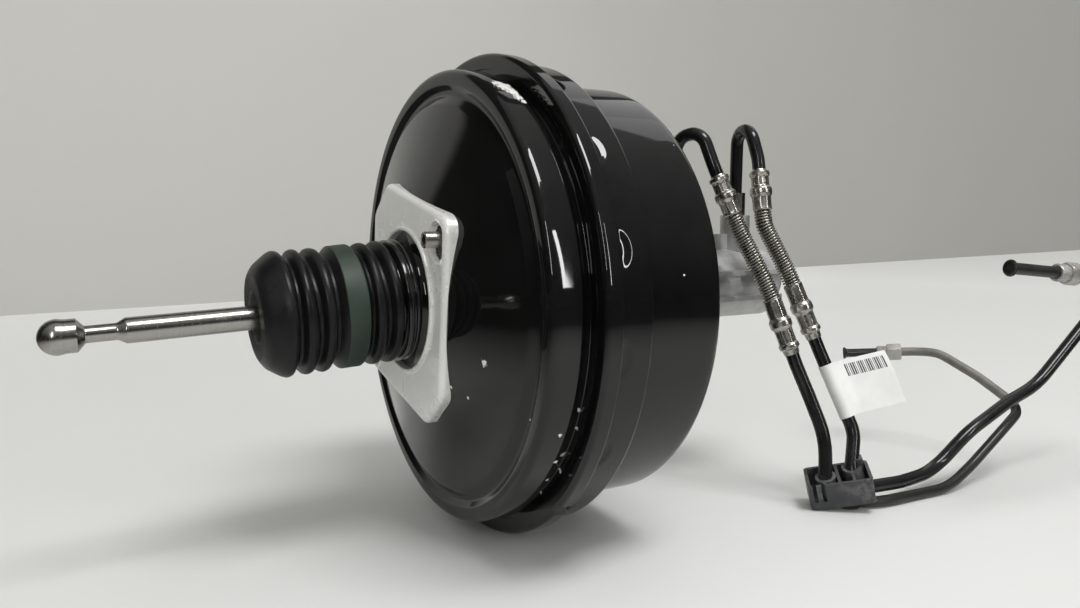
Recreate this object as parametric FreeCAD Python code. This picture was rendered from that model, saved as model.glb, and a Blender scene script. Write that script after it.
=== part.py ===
"""Tandem vacuum brake booster with master cylinder, brake hoses and rigid brake pipes.

Millimetres. The booster axis is X: the push rod points to -X, the master cylinder to +X,
and Z is up. The origin is on the axis, in the rear face of the mounting plate.
"""
import FreeCAD, Part
import math
import os

V = FreeCAD.Vector
ORIGIN = V(0, 0, 0)
X_AXIS = V(1, 0, 0)
Y_AXIS = V(0, 1, 0)
Z_AXIS = V(0, 0, 1)

# General clearances and travel
seat_gap = 0.3
slide_gap = 0.07
valve_travel = 1.5

# Rear shell, pressed from sheet: neck, flat seat, cone, crest, channel, bead, drum, groove, flange
shell_wall = 1.6
plate_thickness = 2.6
neck_r = 29.5
neck_length = 11.6
neck_bend_r = 5.0
seat_r = 52.0
cone_depth = 15.6
drum_r = 119.6
crest_inset = 17.4
channel_inset = 12.3
channel_depth = 4.2
bead_rise = 2.6
bead_inset = 7.6
bead_bend_r = 6.0
drum_length = 15.7
groove_depth = 5.1
groove_taper = 3.7
groove_length = 3.8
flange_width = 12.5

# Front shell: crimped rim, band, shoulder and drum
rim_gap = 0.7
crimp_grip = 5.6
crimp_length = 8.9
rim_bend_r = 2.4
step_run = 1.2
band_drop = 4.2
band_length = 18.0
shoulder_run = 2.1
shoulder_drop = 9.5
front_drum_length = 47.9
front_corner_r = 7.0
lance_count = 16
lance_first = 8.5
lance_length = 7.0
lance_depth = 1.0
lance_tool_r = 150.0
lance_inset = 0.6

# Mounting plate: cast plate with its edges turned down over the cone
plate_top_corner = (24.5, 62.0, 4.0)
plate_low_corner = (-45.7, -46.0, 10.0)
plate_ear = (-10.7, 10.6, 10.0)
plate_skirt = 5.6
plate_skirt_wall = 2.3
plate_rim_r = 38.7
plate_rim_wall = 2.2
plate_rim_height = 1.4
stud_pitch_r = 56.0
stud_angle = 144.0
stud_r = 4.0
stud_bore_r = 2.6
stud_bore_end_x = 2.0
stud_relief_r = 3.1
stud_height = 7.0
stud_window_r = 6.4

# Valve body and hub, one moulding
tube_r = 19.0
tube_bore_r = 15.0
tube_rear_x = -70.3
hub_r = 26.0
hub_flare_x = 14.0
hub_flange_r = 40.0
hub_flange_length = 4.0
rear_plate_x = 24.0
seat_face_x = 19.5
passage_r = 10.5
seat_width = 1.5
bore_end_x = 17.0
plunger_bore_r = 8.0
plunger_bore_x = 27.0
reaction_bore_r = 13.3
reaction_x = 58.0
hub_nose_r = 22.0
hub_nose_length = 2.5
port_count = 3
port_r = 2.3
port_pitch_r = 17.2

# Stop key through the hub
key_x = 44.0
key_thickness = 2.2
key_width = 11.6
key_reach = 25.4
key_fork_gap = 0.4
waist_r = 5.6

# Plunger, poppet and springs of the control valve
plunger_front_x = 56.0
plunger_head_r = 9.6
plunger_head_length = 4.4
swivel_x = 35.0
inner_ball_r = 5.0
socket_mouth_gap = 0.3
poppet_hole_r = 6.2
poppet_face = 2.0
poppet_length = 13.8
poppet_wall = 1.7
poppet_bead_width = 3.6
retainer_length = 2.6
valve_spring_wire = 1.2
filter_length = 18.0
filter_hole_r = 9.5
silencer_length = 6.0
silencer_hole_r = 10.5
filter_front_x = -6.0

# Reaction disc and output rod
disc_thickness = 5.4
output_head_length = 6.0
output_rod_r = 5.5

# Diaphragm plates, centre plate and diaphragms
support_thickness = 1.5
rear_roll_room = 11.4
front_roll_room = 10.5
support_lip = 4.5
rubber = 1.6
roll_length = 7.0
rear_bead = 2.3
front_bead = 4.0
front_bead_width = 6.2
front_plate_x = 73.5
skirt_gap = 0.3
centre_lip = 3.6
centre_hole_gap = 5.3
centre_seal_length = 6.0

# Neck seal and guide
neck_seal_length = 7.0
guide_length = 3.0
guide_rear_inset = 0.6

# Piston return spring, a conical coil of wire
coil_wire = 3.6
coil_large_r = 44.0
coil_small_r = 30.0
coil_turns = 3.5

# Push rod, turned, with its ball at the pedal end
ball_r = 8.1
ball_x = -160.0
ball_band_length = 4.5
rod_neck_r = 3.9
rod_neck_rear_x = -149.5
rod_neck_front_x = -136.5
rod_r = 5.95
rod_shoulder_x = -133.0
rod_step_x = -58.0
rod_inner_r = 3.8
rod_droop = 2.44

# Dust boot, moulded rubber bellows
boot_droop = 4.0
boot_cuff_wall = 2.2
boot_ridge_r = 31.6
boot_valley_r = 27.4
boot_cuff_length = 6.0
boot_first_x = -13.4
boot_ridge_pitch = 8.9
boot_band_rear_x = -38.5
boot_band_front_x = -29.0
boot_far_ridges = 3
boot_ridge_flat = 3.0
boot_end_wall = 5.0
boot_end_r = 23.0
boot_hole_r = 12.5
boot_bore_r = 25.6

# Master cylinder casting
mc_flange_thickness = 8.0
mc_boss_r = 30.0
mc_ear_r = 11.0
mc_bolt_reach = 38.0
mc_bolt_r = 4.0
mc_body_r = 22.0
mc_length = 142.5
mc_nose_length = 12.0
mc_nose_r = 12.0
mc_bore_r = 12.7
mc_bore_end = 126.5
mc_spigot_r = 24.0
mc_spigot_length = 9.5
mc_rib_reach = 24.5
mc_rib_width = 3.0
mc_rib_z = 8.0
port_web_width = 6.0
port_web_drop = 12.0
port_boss_r = 9.5
port_top_z = 44.0
port_xs = (180.0, 230.5)
port_depth = 14.0
inlet_xs = (165.0, 215.0)
inlet_boss_r = 11.0
inlet_reach = 34.0
inlet_bore_r = 7.0
inlet_depth = 18.0
grommet_r = 9.8
grommet_stand = 4.0
fastener_flat = 13.0
fastener_height = 8.0
oring_wire = 2.4

# Hydraulic pistons
primary_x = 110.5
primary_length = 41.5
rod_socket_depth = 9.5
secondary_x = 172.0
secondary_length = 40.0
piston_skirt_depth = 12.0
piston_skirt_wall = 2.6
cup_inset = 6.0
cup_width = 4.0
cup_depth = 2.2
piston_spring_r = 9.6
piston_spring_wire = 1.6

# Vacuum check valve in the front face, away from the pipes
check_y = 60.0
check_z = 60.0
check_hole_r = 9.5
check_grommet_r = 13.0
check_body_r = 7.0
check_inner_reach = 6.0
check_outer_reach = 9.0
check_collar_r = 11.0
barb_r = 5.0
barb_bore_r = 3.2
barb_length = 20.0
barb_bead_r = 5.9
barb_bead_length = 2.0
barb_taper_length = 4.0
barb_tip_r = 4.2

# Tube nuts and pipes
nut_flat = 11.0
nut_length = 14.6
nut_shank_r = 4.9
coat_r = 4.0
pipe_r = 3.15
pipe_bore_r = 1.7
flare_r = 4.7
flare_length = 2.6
pipe_bend_r = 60.0
pipe_lead = 7.0
end_nut_r = 6.4
end_nut_length = 17.0
end_nut_collar = 7.0
near_nut_slack = 24.0
far_nut_slack = 36.0

# Hoses, guard coils and ferrules
hose_r = 3.6
hose_insert = 12.0
hose_lead = 9.0
guard_wire = 1.6
ferrule_r = 5.8
ferrule_collar_r = 6.7
ferrule_waist_r = 4.9
ferrule_neck_r = 4.6
ferrule_neck_bore_r = 2.4
ferrule_neck_length = 3.0
ferrule_edge = 1.0
ferrule_collar_length = 3.0
ferrule_waist_length = 2.0
lower_sleeve_length = 15.0
lower_collar_length = 3.5
lower_waist_length = 4.5
lower_nose_r = 6.2
lower_nose_length = 3.5

# Routes of the rigid pipes, from the tube nuts down to the two open ends
upper_routes = (
    ((181.5, 1, 92.0), (187.0, -16, 95.0), (192.5, -25, 68.2)),
    ((229.0, -2, 97.0), (223.0, -20, 98.0), (223.6, -28, 72.1)),
)
hose_tops = ((199.4, -32, 44.4), (222.6, -33, 47.0))
hose_feet = ((215.3, -50, -6.1), (234.2, -48, 2.1))
ferrule_feet = ((223.4, -60, -38.9), (243.9, -58, -30.9))
near_route = (
    (230.3, -68, -63.9), (233.8, -78.5, -87.7), (230.0, -83.5, -125.8),
    (262.0, -97.3, -126.0), (292.0, -98, -126.6), (323.0, -99.6, -126.6), (347.0, -99, -115.5),
    (380.1, -100, -94.2), (402.5, -96, -86.0), (406.0, -62, -70.0), (403.0, -32, -57.0),
    (397.5, -19, -57.3), (362.4, 20, -61.3),
)
far_route = (
    (248.9, -65.1, -50.7), (254.6, -74.5, -74.6), (257.6, -79.5, -87.3),
    (240.9, -91.5, -117.0), (285.0, -92.6, -119.0), (322.0, -88, -119.5), (349.0, -93.5, -96.0),
    (386.8, -97, -78.8), (412.0, -100, -70.0), (453.4, -105, -33.5), (478.0, -113, -4.0),
    (473.0, -142, 14.0), (441.0, -162, 16.0), (388.0, -168, 13.5), (338.0, -168, 11.0),
    (274.0, -160, 17.0),
)
near_coat_bends = 4
near_coat_past = 21.0
far_coat_bends = 16
far_coat_past = 6.0
clip_runs = 8

# Clip block that holds both pipes; it lies tipped, one corner on the floor, over the near pipe
clip_corner = (222.5, -80.4, -130.0)
clip_yaw = 42.0
clip_roll = 12.0
clip_pitch = 15.0
clip_length = 37.0
clip_depth = 22.0
clip_height = 16.0
clip_wall = 1.8
clip_floor = 5.0
clip_corner_r = 2.5
clip_cup_wall = 1.9
clip_rib_count = 3
clip_tab_length = 8.0
clip_tab_depth = 6.0
clip_tab_rise = 4.0
clip_slot_count = 2
clip_slot_width = 2.2
clip_slot_pitch = 5.0

# Paper flag folded round the far pipe
flag_thickness = 0.4
flag_reach = 40.0
flag_width = 34.0
flag_closing = 11.0

# Stations worked out along the axis
seat_x = plate_thickness
neck_rear_x = seat_x - neck_length
crest_x = seat_x + cone_depth
crest_r = drum_r - crest_inset
channel_x = crest_x + channel_depth
channel_r = drum_r - channel_inset
bead_x = channel_x - bead_rise
bead_r = drum_r - bead_inset
groove_rear_x = bead_x + drum_length
groove_x = groove_rear_x + groove_taper
groove_r = drum_r - groove_depth
flange_x = groove_x + groove_length
flange_r = groove_r + flange_width
flange_front_x = flange_x + shell_wall
lip_x = flange_x - shell_wall
rim_r = flange_r + rim_gap + shell_wall
step_x = lip_x + crimp_length
band_x = step_x + step_run
band_r = rim_r - band_drop
shoulder_x = band_x + band_length
front_drum_x = shoulder_x + shoulder_run
front_drum_r = band_r - shoulder_drop
front_x = front_drum_x + front_drum_length
front_inner_x = front_x - shell_wall
neck_bore_r = neck_r - shell_wall
drum_bore_r = groove_r - shell_wall
front_bore_r = front_drum_r - shell_wall
rear_support_r = drum_bore_r - rear_roll_room
front_support_r = front_bore_r - front_roll_room
hub_front_x = front_plate_x + hub_nose_length
tube_seal_r = tube_r + slide_gap
hub_seal_r = hub_r + slide_gap
mc_x = front_x
mc_body_x = mc_x + mc_flange_thickness
mc_end_x = mc_x + mc_length
mc_bore_end_x = mc_x + mc_bore_end
piston_r = mc_bore_r - slide_gap
boot_cuff_r = neck_r + boot_cuff_wall
boot_end_x = tube_rear_x - boot_end_wall - tube_r * math.sin(math.radians(boot_droop)) - seat_gap


def save(name, shape):
    """Write one piece to its STEP file."""
    shape.exportStep(os.path.join("parts", name + ".step"))


def at(x, radius):
    """Point of a profile in the XZ half plane."""
    return V(x, 0, radius)


def bent_edges(points, radii):
    """Edges of straight runs joined by tangent arcs; a radius of zero keeps its corner sharp."""
    edges = []
    start = points[0]
    for before, corner, after, radius in zip(points, points[1:], points[2:], radii):
        into = (corner - before).normalize()
        out = (after - corner).normalize()
        turn = into.getAngle(out)
        if radius > 0 and turn > 1e-4:
            setback = radius * math.tan(turn / 2)
            inward = (out - into).normalize()
            near = corner - into * setback
            far = corner + out * setback
            middle = corner + inward * (radius / math.cos(turn / 2) - radius)
            if near.distanceToPoint(start) > 1e-6:
                edges.append(Part.LineSegment(start, near).toShape())
            edges.append(Part.Arc(near, middle, far).toShape())
            start = far
        else:
            edges.append(Part.LineSegment(start, corner).toShape())
            start = corner
    if points[-1].distanceToPoint(start) > 1e-6:
        edges.append(Part.LineSegment(start, points[-1]).toShape())
    return edges


def turned(face, origin=ORIGIN, axis=X_AXIS):
    """Solid of revolution of a face, all the way round an axis."""
    return face.revolve(origin, axis, 360)


def ring_of(corners):
    """Turned solid from a closed outline of (x, radius) corners."""
    points = [at(x, radius) for x, radius in corners]
    return turned(Part.Face(Part.makePolygon(points + points[:1])))


def tube(x0, x1, outer_r, bore_r=0.0):
    """Plain cylinder or sleeve along the axis."""
    return ring_of(((x0, bore_r), (x1, bore_r), (x1, outer_r), (x0, outer_r)))


def rod(start, end, radius):
    """Cylinder between two points."""
    return Part.makeCylinder(radius, start.distanceToPoint(end), start, end - start)


def sheet_ring(corners, wall):
    """Turned sheet piece: (x, radius, bend radius) corners of one face, the wall to the right of the path.

    The bend radius is that of the drawn face, and the other face's bend shares its centre.
    """
    points = [at(x, radius) for x, radius, bend in corners]
    bends = [bend for x, radius, bend in corners[1:-1]]
    normals = []
    for first, second in zip(points, points[1:]):
        along = (second - first).normalize()
        normals.append(V(along.z, 0, -along.x))
    shifted = [points[0] + normals[0] * wall]
    shifted_bends = []
    for corner, bend, one, other in zip(points[1:], bends, normals, normals[1:]):
        mean = (one + other).normalize()
        shifted.append(corner + mean * (wall / mean.dot(one)))
        turns_right = one.cross(other).y > 0
        inner = bend - wall if turns_right else bend + wall
        shifted_bends.append(max(inner, 0.0) if bend > 0 else 0.0)
    shifted.append(points[-1] + normals[-1] * wall)
    edges = bent_edges(points, bends)
    edges.append(Part.LineSegment(points[-1], shifted[-1]).toShape())
    edges += bent_edges(shifted[::-1], shifted_bends[::-1])
    edges.append(Part.LineSegment(shifted[0], points[0]).toShape())
    return turned(Part.Face(Part.Wire(edges)))


def largest_bends(points):
    """Bend radii that leave a tenth of each run straight."""
    radii = []
    for before, corner, after in zip(points, points[1:], points[2:]):
        setback = 0.45 * min(before.distanceToPoint(corner), corner.distanceToPoint(after))
        turn = (corner - before).getAngle(after - corner)
        radii.append(setback / math.tan(turn / 2) if turn > 1e-4 else 0.0)
    return radii


def pipe_bends(points):
    """Bend radii of a formed pipe, the bending tool's own where its runs leave the room."""
    return [min(radius, pipe_bend_r) for radius in largest_bends(points)]


def swept(points, bends, outer_r, bore_r=0.0):
    """Round bar or tube along a route of straight runs joined by tangent arcs."""
    route = [V(*point) for point in points]
    path = Part.Wire(bent_edges(route, bends))
    along = route[1] - route[0]
    section = Part.Face(Part.Wire(Part.makeCircle(outer_r, route[0], along)))
    solid = path.makePipe(section)
    if bore_r > 0:
        bore = Part.Face(Part.Wire(Part.makeCircle(bore_r, route[0], along)))
        solid = solid.cut(path.makePipe(bore))
    return solid


def placed(shape, start, along):
    """Move a piece built on +X from the origin to a start point and direction."""
    copy = shape.copy()
    copy.Placement = FreeCAD.Placement(start, FreeCAD.Rotation(X_AXIS, along))
    return copy


def between(shape_maker, start, end):
    """Build a turned piece of the length between two points and place it there."""
    first = V(*start)
    last = V(*end)
    return placed(shape_maker(first.distanceToPoint(last)), first, last - first)


def hexagon_bar(flat, height):
    """Hexagonal bar along +X from the origin."""
    corner_r = flat / math.sqrt(3)
    points = []
    for i in range(7):
        angle = math.radians(60 * i)
        points.append(V(0, corner_r * math.cos(angle), corner_r * math.sin(angle)))
    return Part.Face(Part.makePolygon(points)).extrude(V(height, 0, 0))


def tilted(shape, degrees, x):
    """Droop a piece about the Y axis through (x, 0, 0)."""
    copy = shape.copy()
    copy.rotate(V(x, 0, 0), Y_AXIS, -degrees)
    return copy


# Rear shell

def rear_shell_path():
    return (
        (neck_rear_x, neck_r, 0),
        (seat_x, neck_r, neck_bend_r),
        (seat_x, seat_r, 0),
        (crest_x, crest_r, 0),
        (channel_x, channel_r, 0),
        (bead_x, bead_r, 0),
        (bead_x, drum_r, bead_bend_r),
        (groove_rear_x, drum_r, 0),
        (groove_x, groove_r, 0),
        (flange_x, groove_r, 0),
        (flange_x, flange_r, 0),
    )


def rear_shell():
    return sheet_ring(rear_shell_path(), shell_wall)


def behind_rear_shell():
    """Everything inside the rear shell's outer face, to trim what sits on it."""
    corners = [(x, radius) for x, radius, bend in rear_shell_path()[1:]]
    return ring_of([(seat_x, 0)] + corners + [(flange_front_x, flange_r), (flange_front_x, 0)])


# Front shell

def front_shell():
    path = (
        (lip_x, flange_r - crimp_grip, 0),
        (lip_x, rim_r, rim_bend_r),
        (step_x, rim_r, 0),
        (band_x, band_r, 0),
        (shoulder_x, band_r, 0),
        (front_drum_x, front_drum_r, 0),
        (front_x, front_drum_r, front_corner_r),
        (front_x, mc_spigot_r + seat_gap, 0),
    )
    shell = sheet_ring(path, shell_wall)
    check_hole = rod(V(front_inner_x - 1, check_y, check_z), V(front_x + 1, check_y, check_z), check_hole_r)
    shell = shell.cut(check_hole)
    shell = shell.cut(lance_dents())
    for angle in mc_bolt_angles():
        hole = rod(V(front_inner_x - 1, 0, mc_bolt_reach), V(front_x + 1, 0, mc_bolt_reach), mc_bolt_r)
        hole.rotate(ORIGIN, X_AXIS, angle)
        shell = shell.cut(hole)
    return shell


def lance_dents():
    """Shallow dents pressed round the band just in front of the crimped rim."""
    start = V(band_x + lance_inset, 0, band_r - lance_depth + lance_tool_r)
    dents = []
    for i in range(lance_count):
        dent = rod(start, start + V(lance_length, 0, 0), lance_tool_r)
        dent.rotate(ORIGIN, X_AXIS, lance_first + 360 / lance_count * i)
        dents.append(dent)
    return Part.makeCompound(dents)


def mc_bolt_angles():
    return (90, 270)


# Mounting plate and its two studs

def plate_outline(inset):
    """Closed six-sided outline, the same after half a turn, inset from its edge."""
    stud = stud_centres(0)[0]
    ear_y, ear_z, ear_bend = plate_ear
    sized = (plate_top_corner, (stud.y + ear_y, stud.z + ear_z, ear_bend), plate_low_corner)
    half = [V(0, y, z) for y, z, bend in sized]
    corners = half + [corner * -1 for corner in half]
    bends = [bend for y, z, bend in sized] * 2
    count = len(corners)
    inner = []
    for i, corner in enumerate(corners):
        into = (corner - corners[i - 1]).normalize()
        out = (corners[(i + 1) % count] - corner).normalize()
        bisector = (out - into).normalize()
        inner.append(corner + bisector * (inset / math.cos(into.getAngle(out) / 2)))
    middle = (inner[-1] + inner[0]) * 0.5
    radii = [max(bend - inset, 0.5) for bend in bends]
    return Part.Face(Part.Wire(bent_edges([middle] + inner + [middle], radii)))


def stud_centres(x):
    centres = []
    for turn in (0, 180):
        angle = math.radians(stud_angle + turn)
        centres.append(V(x, stud_pitch_r * math.cos(angle), stud_pitch_r * math.sin(angle)))
    return centres


def mounting_plate():
    depth = V(plate_thickness + plate_skirt, 0, 0)
    outside = plate_outline(0).extrude(depth)
    hollow = plate_outline(plate_skirt_wall).extrude(depth)
    hollow.translate(V(plate_thickness, 0, 0))
    plate = outside.cut(hollow)
    plate = plate.fuse(tube(-plate_rim_height, plate_thickness, plate_rim_r))
    plate = plate.cut(tube(-plate_rim_height, plate_thickness, plate_rim_r - plate_rim_wall))
    for centre in stud_centres(0):
        plate = plate.cut(rod(centre, centre + depth, stud_window_r))
    return plate.cut(behind_rear_shell())


def mounting_studs():
    studs = None
    for centre in stud_centres(-stud_height):
        length = V(stud_height + seat_x + plate_skirt, 0, 0)
        bore_end = V(stud_bore_end_x, centre.y, centre.z)
        stud = rod(centre, centre + length, stud_r)
        stud = stud.cut(rod(centre, bore_end, stud_bore_r))
        stud = stud.cut(rod(bore_end, centre + length, stud_relief_r))
        stud = stud.cut(behind_rear_shell())
        studs = stud if studs is None else studs.fuse(stud)
    return studs


# Valve body

def valve_body():
    outside = ring_of((
        (tube_rear_x, 0), (tube_rear_x, tube_r), (hub_flare_x, tube_r),
        (rear_plate_x - hub_flange_length, hub_r), (rear_plate_x - hub_flange_length, hub_flange_r),
        (rear_plate_x, hub_flange_r), (rear_plate_x, hub_r), (front_plate_x, hub_r),
        (front_plate_x, hub_nose_r), (hub_front_x, hub_nose_r), (hub_front_x, 0),
    ))
    inside = ring_of((
        (tube_rear_x, 0), (tube_rear_x, tube_bore_r), (bore_end_x, tube_bore_r),
        (seat_face_x, passage_r + seat_width), (seat_face_x, passage_r), (plunger_bore_x, passage_r),
        (plunger_bore_x, plunger_bore_r), (reaction_x, plunger_bore_r),
        (reaction_x, reaction_bore_r), (hub_front_x, reaction_bore_r), (hub_front_x, 0),
    ))
    body = outside.cut(inside)
    slot = Part.makeBox(
        key_thickness + 2 * slide_gap, key_width + 2 * slide_gap, hub_r + 1,
        V(key_x - slide_gap, -key_width / 2 - slide_gap, -hub_r - 1),
    )
    body = body.cut(slot)
    for i in range(port_count):
        port = rod(V(bore_end_x - 1, 0, port_pitch_r), V(hub_front_x, 0, port_pitch_r), port_r)
        port.rotate(ORIGIN, X_AXIS, 360 / port_count * i)
        body = body.cut(port)
    return body


def stop_key():
    """Forked plate that keeps the plunger in the hub."""
    plate = Part.makeBox(key_thickness, key_width, key_reach, V(key_x, -key_width / 2, -key_reach))
    plate = plate.common(tube(key_x, key_x + key_thickness, key_reach))
    return plate.cut(tube(key_x, key_x + key_thickness, waist_r + key_fork_gap))


# Plunger and poppet valve

def plunger():
    outer_r = plunger_bore_r - slide_gap
    head_front_x = seat_face_x + plunger_head_length
    key_groove_rear_x = key_x - valve_travel - seat_gap
    key_groove_front_x = key_x + key_thickness + seat_gap
    mouth_r = inner_ball_r + socket_mouth_gap
    body = ring_of((
        (seat_face_x + 0.1, 0), (seat_face_x + 0.1, plunger_head_r), (head_front_x, plunger_head_r),
        (head_front_x, outer_r), (key_groove_rear_x, outer_r), (key_groove_rear_x, waist_r),
        (key_groove_front_x, waist_r), (key_groove_front_x, outer_r), (plunger_front_x - 1, outer_r),
        (plunger_front_x, outer_r - 1), (plunger_front_x, 0),
    ))
    body = body.cut(tube(seat_face_x, swivel_x, mouth_r))
    return body.cut(Part.makeSphere(inner_ball_r + slide_gap, V(swivel_x, 0, 0)))


def poppet():
    face_front_x = seat_face_x - 0.2
    rear_x = face_front_x - poppet_length
    lip_r = tube_bore_r - 0.5
    return ring_of((
        (face_front_x, poppet_hole_r), (face_front_x, passage_r + seat_width - seat_gap),
        (bore_end_x - seat_gap, lip_r),
        (rear_x + poppet_bead_width, lip_r), (rear_x + poppet_bead_width, tube_bore_r),
        (rear_x, tube_bore_r), (rear_x, lip_r - poppet_wall),
        (face_front_x - poppet_face, lip_r - poppet_wall), (face_front_x - poppet_face, poppet_hole_r),
    ))


def poppet_rear_x():
    return seat_face_x - 0.2 - poppet_length


def poppet_retainer():
    rear_x = poppet_rear_x() - retainer_length
    inner_r = tube_bore_r - 0.5 - poppet_wall - 2.0
    return tube(rear_x, poppet_rear_x(), tube_bore_r, inner_r)


def poppet_spring():
    outer_r = tube_bore_r - 0.5 - poppet_wall - 0.3
    face_rear_x = seat_face_x - 0.2 - poppet_face
    return tube(poppet_rear_x(), face_rear_x, outer_r, outer_r - valve_spring_wire)


def valve_return_spring():
    spring_front_x = poppet_rear_x() - retainer_length
    return tube(filter_front_x, spring_front_x, tube_bore_r - 2.5, tube_bore_r - 2.5 - valve_spring_wire)


def air_filter():
    return tube(filter_front_x - filter_length, filter_front_x, tube_bore_r, filter_hole_r)


def silencer():
    front = filter_front_x - filter_length
    return tube(front - silencer_length, front, tube_bore_r, silencer_hole_r)


# Reaction disc and output rod

def reaction_disc():
    return tube(reaction_x, reaction_x + disc_thickness, reaction_bore_r - slide_gap)


def output_rod():
    head_x = reaction_x + disc_thickness
    tip_x = primary_x + rod_socket_depth - seat_gap
    head_r = reaction_bore_r - slide_gap
    return ring_of((
        (head_x, 0), (head_x, head_r), (head_x + output_head_length, head_r),
        (head_x + output_head_length + 3, output_rod_r), (tip_x - 3, output_rod_r),
        (tip_x, output_rod_r - 2.5), (tip_x, 0),
    ))


# Diaphragm supports and centre plate

def rear_support():
    path = (
        (rear_plate_x, hub_r, 0), (rear_plate_x, rear_support_r, 0),
        (rear_plate_x + support_lip, rear_support_r, 0),
    )
    return sheet_ring(path, support_thickness)


def front_support():
    path = (
        (front_plate_x, hub_nose_r, 0), (front_plate_x, front_support_r, 0),
        (front_plate_x + support_lip, front_support_r, 0),
    )
    return sheet_ring(path, support_thickness)


def centre_plate_front_x():
    return shoulder_x - shell_wall - seat_gap - front_bead


def centre_plate_rear_lip_x():
    return flange_front_x + rear_bead


def centre_plate():
    skirt_r = band_r - shell_wall - skirt_gap
    lip_front_x = centre_plate_rear_lip_x() + support_thickness
    face_x = centre_plate_front_x()
    path = (
        (lip_front_x, skirt_r + centre_lip, 0), (lip_front_x, skirt_r, 0), (face_x, skirt_r, 0),
        (face_x, hub_r + centre_hole_gap, 0),
    )
    return sheet_ring(path, support_thickness)


def centre_seal():
    face_x = centre_plate_front_x()
    hole_r = hub_r + centre_hole_gap
    rear_x = face_x - support_thickness - centre_seal_length / 2
    front = face_x + centre_seal_length / 2
    return ring_of((
        (rear_x, hub_seal_r), (front, hub_seal_r), (front, hole_r + 2), (face_x, hole_r + 2),
        (face_x, hole_r), (face_x - support_thickness, hole_r),
        (face_x - support_thickness, hole_r + 2), (rear_x, hole_r + 2),
    ))


def rear_diaphragm():
    disc_x = rear_plate_x
    roll_r = rear_support_r + seat_gap + rubber
    roll_x = disc_x + roll_length
    outer_r = drum_bore_r - 2
    bead_front = flange_front_x + rear_bead
    path = (
        (disc_x - rubber, hub_flange_r + seat_gap, 0), (disc_x - rubber, roll_r, 0), (roll_x, roll_r, 0),
        (roll_x, outer_r, 0), (bead_front - rubber, outer_r, 0), (bead_front - rubber, groove_r + 2, 0),
    )
    skin = sheet_ring(path, rubber)
    bead = tube(flange_front_x, bead_front, flange_r - seat_gap, groove_r + 2)
    return skin.fuse(bead)


def front_diaphragm():
    disc_x = front_plate_x
    roll_r = front_support_r + seat_gap + rubber
    roll_x = disc_x + roll_length
    outer_r = front_bore_r - rubber - 1
    bead_rear = centre_plate_front_x()
    bead_outer_r = band_r - shell_wall - skirt_gap
    bead_inner_r = bead_outer_r - front_bead_width
    path = (
        (disc_x - rubber, hub_r + seat_gap, 0), (disc_x - rubber, roll_r, 0), (roll_x, roll_r, 0),
        (roll_x, outer_r, 0), (bead_rear + rubber, outer_r, 0), (bead_rear + rubber, bead_inner_r + 1, 0),
    )
    skin = sheet_ring(path, rubber)
    bead = tube(bead_rear, bead_rear + front_bead, bead_outer_r, bead_inner_r)
    return skin.fuse(bead)


# Neck seal and guide

def neck_guide():
    rear_x = neck_rear_x + guide_rear_inset
    return tube(rear_x, rear_x + guide_length, neck_bore_r, tube_seal_r)


def neck_seal():
    rear_x = neck_rear_x + guide_rear_inset + guide_length
    return ring_of((
        (rear_x, tube_seal_r), (rear_x + neck_seal_length, tube_seal_r),
        (rear_x + neck_seal_length, tube_seal_r + 2), (rear_x + 2, tube_seal_r + 4),
        (rear_x + neck_seal_length - 1, neck_bore_r), (rear_x, neck_bore_r),
    ))


# Piston return spring

def return_spring():
    """Conical coil from the front shell back to the front diaphragm plate."""
    start_x = front_plate_x + support_thickness + coil_wire / 2
    end_x = front_inner_x - coil_wire / 2
    length = end_x - start_x
    taper = math.degrees(math.atan((coil_large_r - coil_small_r) / length))
    path = Part.makeHelix(length / coil_turns, length, coil_small_r, taper)
    section = []
    for i in range(7):
        angle = math.radians(60 * i + 30)
        section.append(V(coil_small_r + coil_wire / 2 * math.cos(angle), 0, coil_wire / 2 * math.sin(angle)))
    coil = Part.Wire(path).makePipeShell([Part.makePolygon(section)], True, True)
    coil.rotate(ORIGIN, Y_AXIS, 90)
    coil.translate(V(start_x, 0, 0))
    return coil


# Push rod

def push_rod():
    ball_edge = math.sqrt(ball_r ** 2 - (ball_r - 0.5) ** 2)
    ball_band_r = ball_r - 0.5
    neck_points = (
        (ball_x, 0), (ball_x, ball_band_r), (ball_x + ball_edge + ball_band_length, ball_band_r),
        (rod_neck_rear_x, rod_neck_r), (rod_neck_front_x, rod_neck_r), (rod_shoulder_x, rod_r),
        (rod_step_x, rod_r), (rod_step_x, rod_inner_r), (swivel_x, rod_inner_r), (swivel_x, 0),
    )
    bar = ring_of(neck_points)
    bar = bar.fuse(Part.makeSphere(ball_r, V(ball_x, 0, 0)))
    bar = bar.fuse(Part.makeSphere(inner_ball_r, V(swivel_x, 0, 0)))
    return tilted(bar, rod_droop, swivel_x)


# Dust boot

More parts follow.
